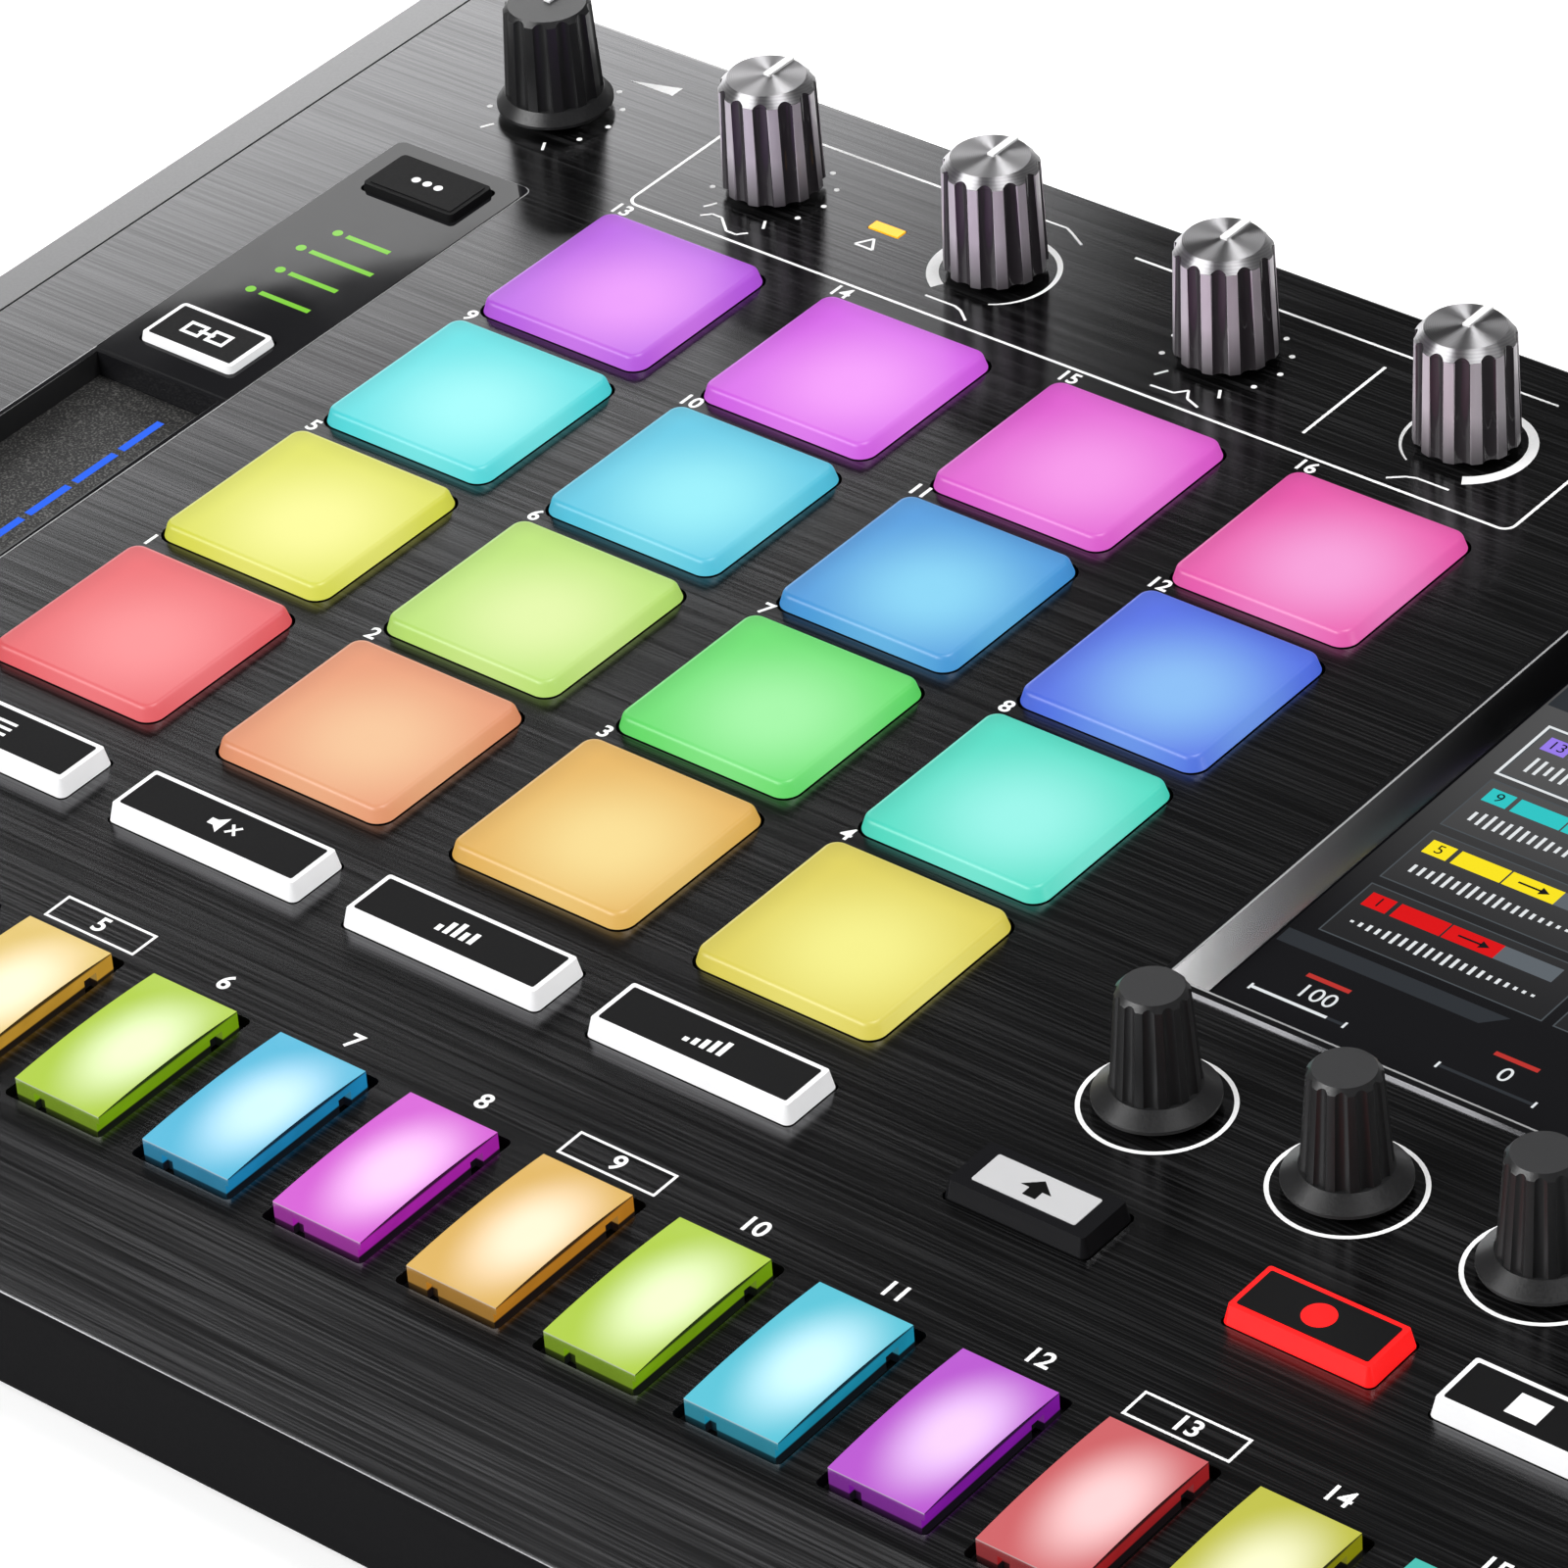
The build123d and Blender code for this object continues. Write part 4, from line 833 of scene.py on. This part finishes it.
def dress_filter_knob(node):
    top = panel_box(node)[1].z - POINTER_RISE
    shoulder = top - KNOB_CAP_HEIGHT
    u, v = panel_middle(node)

    def groove_cap_pointer_or_land(place, normal):
        if place.z > top + LEVEL_SLACK:
            return 2
        if place.z > shoulder and normal.z > CAP_FACING:
            return 1
        share = min((place.z - FLUTED_FOOT) / (shoulder - FLUTED_FOOT), 1)
        outer = FLUTED_RADII[0] + (FLUTED_RADII[1] - FLUTED_RADII[0]) * share
        # Faces in the flutes take the dark groove material as painted shade; the lands keep the lilac.
        return 3 if hypot(place.x - u, place.y - v) > outer - FLUTE_LAND_BAND else 0

    paint_node(node, [FLUTE_GROOVE_SHADE, SPUN, INK_WHITE, FLUTE_LAND], groove_cap_pointer_or_land)


def dress_black_knob(node, top, materials):
    """Moulding with a flat top at a height, and a pointer above it where a third material is given."""
    def moulding_top_or_pointer(place, normal):
        if place.z > top + LEVEL_SLACK:
            return 2
        return 1 if place.z > top - LEVEL_SLACK else 0

    paint_node(node, materials, moulding_top_or_pointer)


def dress_knobs():
    for node in FILTER_KNOBS:
        dress_filter_knob(node)
    black = [KNOB_BLACK, KNOB_TOP_GREY]
    level_top = panel_box("main_level_knob")[1].z - POINTER_RISE
    dress_black_knob("main_level_knob", level_top, [*black, INK_WHITE])
    for node in ENCODERS:
        dress_black_knob(node, panel_box(node)[1].z, black)


# Boards and lamp


LAMP_SHIFT = 23.4
LAMP_HALF = (3.2, 1.3)


def lamp_middle():
    """Panel position of the overload lamp, right of the drive knob."""
    u, v = panel_middle("drive_knob")
    return u + LAMP_SHIFT, v


def dress_boards():
    lamp_u, lamp_v = lamp_middle()

    def board_part_or_lamp(place, normal):
        if place.z <= BOARD_FACE_LEVEL:
            return 0
        in_lamp = abs(place.x - lamp_u) < LAMP_HALF[0] and abs(place.y - lamp_v) < LAMP_HALF[1]
        return 2 if in_lamp else 1

    paint_node("circuit_boards", [BOARD_GREEN, STEEL, LAMP_AMBER], board_part_or_lamp)


# Touch strip


CHANNEL_LEDGE = 6.0

# Position v and width of each lit line in the window
WINDOW_MARKS = ((201.2, 12.2), (194.5, 16.4), (187.6, 13.2), (180.6, 13.6))
WINDOW_MARK_SHIFT = 1.3
WINDOW_DOT_INSET = 1.0
WINDOW_DOT_RADIUS = 0.9
WINDOW_BAR_INSET = 3.0
WINDOW_BAR_HALF = 0.55

# Dashes of the blue light line
LIGHT_LINE_SHIFT = 4.6
LIGHT_PITCH = 10.8
LIGHT_LENGTH = 9.4
LIGHT_WIDTH = 1.5
LIGHT_COUNT = 8
LIGHT_BACK_V = 148.2


def dress_strip():
    channel_back = panel_box("hold_button")[0].y - CHANNEL_LEDGE

    def housing_film_or_wall(place, normal):
        if abs(place.z - STRIP_FLOOR_LEVEL) < FILM_SLACK and normal.z > FLAT_FACING:
            return 1
        return 2 if place.y < channel_back and place.z < 0 else 0

    paint_node("touch_strip", [GLOSS_BLACK, sparkle_film(), STRIP_WALL], housing_film_or_wall)
    middle = panel_middle("touch_strip")[0]
    marks = Drawing(panel_box("touch_strip")[1].z + PRINT_LIFT)
    for v, width in WINDOW_MARKS:
        left = middle + WINDOW_MARK_SHIFT - width / 2
        marks.disc((left + WINDOW_DOT_INSET, v), WINDOW_DOT_RADIUS)
        marks.rectangle((left + WINDOW_BAR_INSET, v - WINDOW_BAR_HALF), (left + width, v + WINDOW_BAR_HALF))
    marks.finish("window_marks", [LIT_GREEN], CHASSIS)
    lights = Drawing(STRIP_FLOOR_LEVEL + PRINT_LIFT)
    u = middle + LIGHT_LINE_SHIFT
    for n in range(LIGHT_COUNT):
        back = LIGHT_BACK_V - n * LIGHT_PITCH
        lights.rectangle((u - LIGHT_WIDTH / 2, back - LIGHT_LENGTH), (u + LIGHT_WIDTH / 2, back))
    lights.finish("strip_lights", [LIT_BLUE], CHASSIS)
    draw_strip_edge()


def draw_strip_edge():
    """Painted highlight: a thin bright line round the strip's opening, apart from its front side."""
    (left, front), (right, back) = STRIP_OPENING
    r = STRIP_OPENING_CORNER
    edge = Drawing(PRINT_LIFT)
    for u in (left, right):
        edge.line((u, front), (u, back - r), EDGE_HIGHLIGHT_WIDTH)
    edge.line((left + r, back), (right - r, back), EDGE_HIGHLIGHT_WIDTH)
    for u, start in ((right - r, 0), (left + r, 90)):
        edge.arc((u, back - r), r, start, start + 90, (EDGE_HIGHLIGHT_WIDTH, EDGE_HIGHLIGHT_WIDTH), CORNER_STEPS)
    edge.finish("strip_opening_highlight", [EDGE_HIGHLIGHT], CHASSIS)


# Display


SCREEN = ((53.0, 119.8), (202.0, 217.4))
CELL_SIZE = (38.3, 13.4)
CELL_PITCH = (40.1, 15.2)
CELL_FIRST = (57.0, 142.9)
CELL_ROWS = 4
CELL_COLUMNS = 3
TRACKS_PER_ROW = 4
TAG_COLOURS = ("#e00000", "#ffe814", "#2cc8c8", "#9a7cf0", "#f08c28", "#a4dc3c", "#48b4f0", "#d860e0",
               "#f0b428", "#3cd25a", "#4878f0", "#f05cb4")
CELL_EDGE = 0.25
CELL_FACE_LIFT = 0.01
CELL_FRAME = 0.5
CELL_TAGS = (((1.6, 8.2), (5.8, 11.6)), ((6.6, 8.2), (15.2, 11.6)), ((15.5, 8.2), (24.4, 11.6)))
STATE_TAG = ((24.4, 8.2), (34.4, 11.6))
CELL_NUMBER_PLACE = (3.7, 9.9)
CELL_NUMBER_SIZE = 3.0
ARROW_SHAFT = ((17.4, 9.7), (21.4, 10.1))
ARROW_HEAD = ((21.2, 9.0), (22.8, 9.9), (21.2, 10.8))
WAVE_START = (3.0, 4.2)
WAVE_WIDTH = 31.0
WAVE_STROKES = 22
WAVE_STROKE_HALF = 0.28
WAVE_HALF = (0.25, 1.9)
WAVE_SWELL = (3.1, 0.4)
WAVE_FADE = 0.75
WAVE_RIPPLE = (5.3, 1.7)
RIPPLE_SHARE = 0.45
METER_FIRST = (181.0, 143.4)
METER_PITCH = (9.4, 3.7)
METER_BAR = (7.6, 2.8)
METER_BARS = 16
METER_LEVELS = (11, 9)
DIAL_FIRST_U = 64.9
DIAL_PITCH = 32.0
DIAL_VALUES = (100, 0, 24, 64, 12)
DIAL_NUMBER_PLACE = (1.0, 130.0)
DIAL_NUMBER_SIZE = 4.4
DIAL_LABEL = ((-3.0, 133.0), (4.4, 133.9))
DIAL_LINE = ((-8.0, 126.5), (8.0, 127.1))
DIAL_UNIT = 0.13
DIAL_TICKS = (((-8.3, 126.1), (-7.9, 127.5)), ((7.9, 126.1), (8.3, 127.5)))
FOOT_TAB = ((53.4, 137.7), (88.2, 137.7), (91.4, 141.0), (53.4, 141.0))
HEAD_BAND = ((53.4, 206.6), (201.8, 216.8))
HEAD_NUMBER = 120
HEAD_NUMBER_PLACE = (64.0, 211.7)
HEAD_NUMBER_SIZE = 4.6
HEAD_TAB = ((150.0, 209.6), (159.0, 213.8))
HEAD_TAB_PITCH = 12.0
HEAD_TABS = 4
SCREEN_LIFT = 0.015
FIELD_DROP = -0.01
SCREEN_CODES = {"dark": "#050505", "edge": "#4a5054", "grey": "#5f666c", "white": "#e8ecee", "red": "#c03028",
                "band": "#2a2e32", "green": "#54d04a"}
SCREEN_FIELDS = {"cell": (0.012, 0.1), "field": (0.0015, 0.08)}
INKS = {name: i for i, name in enumerate([*SCREEN_CODES, *SCREEN_FIELDS])}


def screen_paints():
    """Materials of the display's drawing, in the order of INKS and then of the tags."""
    paints = [screen_light(f"screen_{name}", srgb(code)) for name, code in SCREEN_CODES.items()]
    paints += [screen_field(f"screen_{name}", front, back) for name, (front, back) in SCREEN_FIELDS.items()]
    paints += [screen_light(f"screen_tag_{i}", srgb(code)) for i, code in enumerate(TAG_COLOURS, 1)]
    return paints


def draw_wave(screen, left, middle, phase):
    """Little sound wave of upright strokes that swell and fade."""
    for i in range(WAVE_STROKES):
        share = i / (WAVE_STROKES - 1)
        swell = abs(sin(WAVE_SWELL[0] * share + WAVE_SWELL[1] * phase)) * (1 - WAVE_FADE * share)
        ripple = 1 - RIPPLE_SHARE + RIPPLE_SHARE * abs(sin(WAVE_RIPPLE[0] * i + WAVE_RIPPLE[1] * phase))
        half = WAVE_HALF[0] + WAVE_HALF[1] * swell * ripple
        u = left + WAVE_WIDTH * share
        screen.rectangle((u - WAVE_STROKE_HALF, middle - half), (u + WAVE_STROKE_HALF, middle + half),
                         INKS["white"], 2 * SYMBOL_LIFT)


def draw_cell(screen, low, number, index):
    """One track cell: panel, coloured number and type tags, grey state tag and a sound wave."""
    u, v = low
    high = (u + CELL_SIZE[0], v + CELL_SIZE[1])
    screen.rectangle(low, high, INKS["edge"])
    screen.rectangle(*inset(low, high, CELL_EDGE), INKS["cell"], CELL_FACE_LIFT)
    for tag in CELL_TAGS:
        screen.rectangle(*moved(tag, u, v), len(INKS) + index, SYMBOL_LIFT)
    screen.rectangle(*moved(STATE_TAG, u, v), INKS["grey"], SYMBOL_LIFT)
    on_tag = (INKS["dark"], 2 * SYMBOL_LIFT)
    place = (u + CELL_NUMBER_PLACE[0], v + CELL_NUMBER_PLACE[1])
    screen.number(number, place, CELL_NUMBER_SIZE, *on_tag)
    screen.rectangle(*moved(ARROW_SHAFT, u, v), *on_tag)
    screen.polygon(moved(ARROW_HEAD, u, v), *on_tag)
    draw_wave(screen, u + WAVE_START[0], v + WAVE_START[1], index)


def draw_cells(screen):
    """Grid of track cells, with a white frame round the back left one."""
    for column in range(CELL_COLUMNS):
        for row in range(CELL_ROWS):
            low = (CELL_FIRST[0] + column * CELL_PITCH[0], CELL_FIRST[1] + row * CELL_PITCH[1])
            draw_cell(screen, low, column + TRACKS_PER_ROW * row + 1, column * CELL_ROWS + row)
    low = (CELL_FIRST[0], CELL_FIRST[1] + (CELL_ROWS - 1) * CELL_PITCH[1])
    high = (low[0] + CELL_SIZE[0], low[1] + CELL_SIZE[1])
    screen.outline(*inset(low, high, -CELL_FRAME), CELL_FRAME, INKS["white"])


def dress_bezel():
    def wall_rim_or_glass(place, normal):
        if place.z < GLASS_LEVEL + GLASS_SLACK:
            return 2
        # The bezel rim's top is painted case black as the shadow line round the display.
        if place.z > BEZEL_RIM_LEVEL:
            return 1
        return 3 if abs(normal.x) > BEZEL_SIDE_FACING else 0

    glass = gloss_black("display_glass", (0.003, 0.003, 0.004))
    paint_node("display_module", [WALL_METAL, CASE_BLACK, glass, SIDE_WALL_SHADED], wall_rim_or_glass)
    # Painted highlight: a thin bright line along the bezel's inner edge.
    line = Drawing(panel_box("display_module")[1].z + PRINT_LIFT)
    line.outline(*inset(*BEZEL_INNER, -BEZEL_HIGHLIGHT_WIDTH), BEZEL_HIGHLIGHT_WIDTH)
    line.finish("bezel_highlight", [EDGE_HIGHLIGHT], CHASSIS)


def draw_meters(screen):
    """Two level meters right of the cells."""
    for side, level in enumerate(METER_LEVELS):
        left = METER_FIRST[0] + METER_PITCH[0] * side
        for n in range(METER_BARS):
            front = METER_FIRST[1] + METER_PITCH[1] * n
            ink = INKS["green"] if n < level else INKS["band"]
            screen.rectangle((left, front), (left + METER_BAR[0], front + METER_BAR[1]), ink)


def draw_dials(screen):
    """Value line over each encoder: number, scale with end ticks and the filled part."""
    for n, value in enumerate(DIAL_VALUES):
        u = DIAL_FIRST_U + n * DIAL_PITCH
        place = (u + DIAL_NUMBER_PLACE[0], DIAL_NUMBER_PLACE[1])
        screen.number(value, place, DIAL_NUMBER_SIZE, INKS["white"])
        screen.rectangle(*moved(DIAL_LABEL, u), INKS["red"])
        low, high = moved(DIAL_LINE, u)
        screen.rectangle(low, high, INKS["band"])
        if value:
            screen.rectangle(low, (low[0] + DIAL_UNIT * value, high[1]), INKS["white"], SYMBOL_LIFT)
        for tick in DIAL_TICKS:
            screen.rectangle(*moved(tick, u), INKS["white"], SYMBOL_LIFT)


def dress_screen():
    screen = Drawing(GLASS_LEVEL + SCREEN_LIFT)
    screen.rectangle(*SCREEN, INKS["field"], FIELD_DROP)
    draw_cells(screen)
    draw_meters(screen)
    draw_dials(screen)
    screen.polygon(FOOT_TAB, INKS["band"])
    screen.rectangle(*HEAD_BAND, INKS["band"])
    screen.number(HEAD_NUMBER, HEAD_NUMBER_PLACE, HEAD_NUMBER_SIZE, INKS["white"], SYMBOL_LIFT)
    for n in range(HEAD_TABS):
        screen.rectangle(*moved(HEAD_TAB, HEAD_TAB_PITCH * n), INKS["grey"], SYMBOL_LIFT)
    screen.finish("display_graphics", screen_paints(), CHASSIS)


# Printed marks on the panel


FRAME_BACK_V = 266.5
FILTER_FRAME = ((-146.6, 234.9), (27.2, FRAME_BACK_V))
FRAME_LINE = 0.55
FRAME_CORNER = 2.0
LABEL_GAP_HALF = 16.6
SEPARATOR = ((-14.5, 239.8), (-14.5, 262.1))
FIRST_MARK = 240.0
MARK_STEP = 30.0
MARK_COUNT = 11
LAST_MARK = FIRST_MARK - MARK_STEP * (MARK_COUNT - 1)
MARK_DOT = 0.5
MARK_LINE = (-0.2, 2.2)
MARK_LINE_WIDTH = 0.5
LEVEL_MARK_RADIUS = 11.3
FILTER_MARK_RADIUS = 10.3
SWEEP_WIDTHS = (2.2, 0.3)
SWEEP_STEPS = 72
RING_RADIUS = 11.0
RING_LINE = 0.7
RING_STEPS = 96

# Small curves that tell what a knob does, and where they stand: before the knob or in the frame's back line
ICON_V = 238.2
KNOB_ICONS = (
    ("drive_knob", ICON_V, ((-5, 0), (-3.6, 1.4), (-1.6, 1.4), (1.6, -1.4), (3.6, -1.4), (5, 0))),
    ("low_cutoff_knob", ICON_V, ((-5, 1.0), (1.0, 1.0), (2.6, 0.4), (5, -1.5))),
    ("low_cutoff_knob", FRAME_BACK_V, ((-6, 1.2), (2.0, 1.2), (3.6, 0.4), (7, -1.6))),
    ("resonance_knob", ICON_V, ((-5, -0.4), (-0.6, -0.2), (1.0, 1.6), (2.2, -0.4), (5, -1.5))),
    ("high_cutoff_knob", ICON_V, ((-5, -1.5), (-2.6, 0.4), (-1.0, 1.0), (5, 1.0))),
    ("high_cutoff_knob", FRAME_BACK_V, ((-7, -1.6), (-3.6, 0.4), (-2.0, 1.2), (6, 1.2))))
LEVEL_WEDGE = ((5.0, 13.6), (14.0, 13.6), (14.0, 16.4))
LAMP_ICON_V = 246.4
LAMP_ICON = ((-1.8, -1.2), (0, 1.6), (1.8, -1.2), (-1.8, -1.2))


def knob_marks(drawing, node, radius):
    """Dots around a knob, with short lines at both ends of its sweep."""
    centre = Vector(panel_middle(node))
    inner, outer = radius + MARK_LINE[0], radius + MARK_LINE[1]
    for n in range(MARK_COUNT):
        angle = radians(FIRST_MARK - MARK_STEP * n)
        direction = Vector((cos(angle), sin(angle)))
        if n in (0, MARK_COUNT - 1):
            drawing.line(centre + direction * inner, centre + direction * outer, MARK_LINE_WIDTH)
        else:
            drawing.disc(centre + direction * radius, MARK_DOT)


def draw_filter_frame(drawing):
    """Rounded frame round the four knobs, open where a filter symbol stands in its back line."""
    (left, front), (right, back) = FILTER_FRAME
    r = FRAME_CORNER
    drawing.line((left + r, front), (right - r, front), FRAME_LINE)
    for u in (left, right):
        drawing.line((u, front + r), (u, back - r), FRAME_LINE)
    for u, v, start in ((left + r, front + r, 180), (right - r, front + r, 270), (right - r, back - r, 0),
                        (left + r, back - r, 90)):
        drawing.arc((u, v), r, start, start + 90, (FRAME_LINE, FRAME_LINE), CORNER_STEPS)
    edges = [left + r]
    for node in ("low_cutoff_knob", "high_cutoff_knob"):
        u = panel_middle(node)[0]
        edges += [u - LABEL_GAP_HALF, min(u + LABEL_GAP_HALF, right - r)]
    edges.append(right - r)
    for start, end in zip(edges[::2], edges[1::2]):
        if end > start:
            drawing.line((start, back), (end, back), FRAME_LINE)
    drawing.line(*SEPARATOR, FRAME_LINE)


def draw_icons(drawing):
    """Curves at the filter knobs, a wedge at the level knob and a triangle at the lamp."""
    for node, v, points in KNOB_ICONS:
        drawing.path(moved(points, panel_middle(node)[0], v), FINE_LINE)
    drawing.polygon(moved(LEVEL_WEDGE, *panel_middle("main_level_knob")))
    drawing.path(moved(LAMP_ICON, lamp_middle()[0], LAMP_ICON_V), FINE_LINE)


def print_numbers():
    numbers = Drawing(PRINT_LIFT)
    for n, node in enumerate(PADS, 1):
        u, v = panel_middle(node)
        place = (u + PAD_NUMBER_SHIFT[0], v + PAD_NUMBER_SHIFT[1])
        numbers.number(n, place, PAD_NUMBER_SIZE, spread=INK_SPREAD)
    for n, node in enumerate(KEYS, 1):
        u = panel_middle(node)[0]
        numbers.number(n, (u, STEP_NUMBER_V), NUMBER_SIZE, spread=INK_SPREAD)
        if n % BEAT == 1:
            numbers.outline(*around(u, STEP_NUMBER_V, STEP_BOX), FINE_LINE)
    numbers.finish("panel_numbers", [INK_WHITE], CHASSIS)


def print_scales():
    scales = Drawing(PRINT_LIFT)
    knob_marks(scales, "main_level_knob", LEVEL_MARK_RADIUS)
    for node in ("drive_knob", "resonance_knob"):
        knob_marks(scales, node, FILTER_MARK_RADIUS)
    for node, widths in (("low_cutoff_knob", SWEEP_WIDTHS), ("high_cutoff_knob", SWEEP_WIDTHS[::-1])):
        scales.arc(panel_middle(node), FILTER_MARK_RADIUS, FIRST_MARK, LAST_MARK, widths, SWEEP_STEPS)
    for node in ENCODERS:
        scales.arc(panel_middle(node), RING_RADIUS, 0, 360, (RING_LINE, RING_LINE), RING_STEPS)
    draw_filter_frame(scales)
    draw_icons(scales)
    scales.finish("panel_scales", [INK_WHITE], CHASSIS)


# Camera, floor and lights


CAMERA_PLACE = Vector((573.915, -745.423, 640.162)) * MM
CAMERA_TARGET = Vector((-24.058, -5.703, 42.684)) * MM
CAMERA_ROLL = radians(-0.44738)
CAMERA_LENS = 176.215
SENSOR_WIDTH = 36.0
FLOOR_HALF = 6.0
FLOOR_GLOW = 0.32
WORLD_RISE = (0.05, 0.4)
WORLD_LIGHT = (0.4, 0.06)

# Name, place, target and size in metres, and power in watts
SOFTBOXES = (
    ("back_left", (-0.662, 0.502, 0.270), (-0.062, -0.058, -0.300), (0.45, 0.4), 2.07),
    ("low_right", (0.404, 0.141, 0.06), (0.084, -0.079, 0.045), (0.2, 0.10), 0.5),
    ("front", (-1.0, -2.0, 1.45), (0, 0, 0), (2.0, 1.2), 85.0),
    ("above", (0.5, 0.3, 2.4), (0, 0, 0), (1.2, 0.8), 45.0))


def aimed(place, target):
    """Matrix of a camera or lamp at a place that looks at a target."""
    turn = (Vector(target) - Vector(place)).to_track_quat("-Z", "Y")
    return Matrix.Translation(place) @ turn.to_matrix().to_4x4()


def make_camera():
    data = bpy.data.cameras.new("camera")
    data.lens = CAMERA_LENS
    data.sensor_width = SENSOR_WIDTH
    camera = add_object("camera", data)
    camera.matrix_world = aimed(CAMERA_PLACE, CAMERA_TARGET) @ Matrix.Rotation(CAMERA_ROLL, 4, "Z")
    scene.camera = camera


def make_lamps():
    """Two small lamps beside the panel for its reflections, and broad light from the front left and above."""
    for name, place, target, size, power in SOFTBOXES:
        data = bpy.data.lights.new(name, "AREA")
        data.shape = "RECTANGLE"
        data.size, data.size_y = size
        data.energy = power
        add_object(name, data).matrix_world = aimed(place, target)


def make_floor():
    """Pale paper floor, brighter where it is seen directly, in a mirror or through glass."""
    mesh = bpy.data.meshes.new("floor")
    corners = [(FLOOR_HALF * x, FLOOR_HALF * y, 0) for x, y in ((-1, -1), (1, -1), (1, 1), (-1, 1))]
    mesh.from_pydata(corners, [], [(0, 1, 2, 3)])
    paper = Paint("studio_paper", (0.9, 0.9, 0.9), 0.9)
    paper.to(paper.blend(paper.noise(3, detail=3), (0.89, 0.89, 0.89), (0.91, 0.91, 0.91)), "Base Color")
    paper.shader.inputs["Emission Color"].default_value = (1, 1, 1, 1)
    rays = paper.node("ShaderNodeLightPath")
    seen = rays.outputs["Is Camera Ray"]
    for kind in ("Is Glossy Ray", "Is Transmission Ray"):
        either = paper.node("ShaderNodeMath")
        either.operation = "MAXIMUM"
        paper.link(seen, either.inputs[0])
        paper.link(rays.outputs[kind], either.inputs[1])
        seen = either.outputs[0]
    paper.to(paper.ranged(seen, 0, 1, 0, FLOOR_GLOW), "Emission Strength")
    mesh.materials.append(paper.material)
    floor = add_object("floor", mesh)


def make_world():
    """Dim world, brighter towards the horizon."""
    world = bpy.data.worlds.new("studio")
    world.use_nodes = True
    tree = world.node_tree
    direction = tree.nodes.new("ShaderNodeTexCoord")
    axes = tree.nodes.new("ShaderNodeSeparateXYZ")
    fade = tree.nodes.new("ShaderNodeMapRange")
    fade.interpolation_type = "SMOOTHSTEP"
    set_inputs(fade, dict(zip(("From_Min", "From_Max", "To_Min", "To_Max"), WORLD_RISE + WORLD_LIGHT)))
    tree.links.new(direction.outputs["Generated"], axes.inputs["Vector"])
    tree.links.new(axes.outputs["Z"], fade.inputs["Value"])
    tree.links.new(fade.outputs["Result"], tree.nodes["Background"].inputs["Strength"])
    tree.nodes["Background"].inputs["Color"].default_value = (1, 1, 1, 1)
    scene.world = world


scene.view_settings.view_transform = "Standard"
dress_case()
dress_feet_and_sockets()
dress_pads()
dress_keys()
dress_buttons()
dress_shift()
dress_knobs()
dress_boards()
dress_strip()
dress_bezel()
dress_screen()
print_numbers()
print_scales()
make_camera()
make_floor()
make_world()
make_lamps()

bpy.context.view_layer.update()
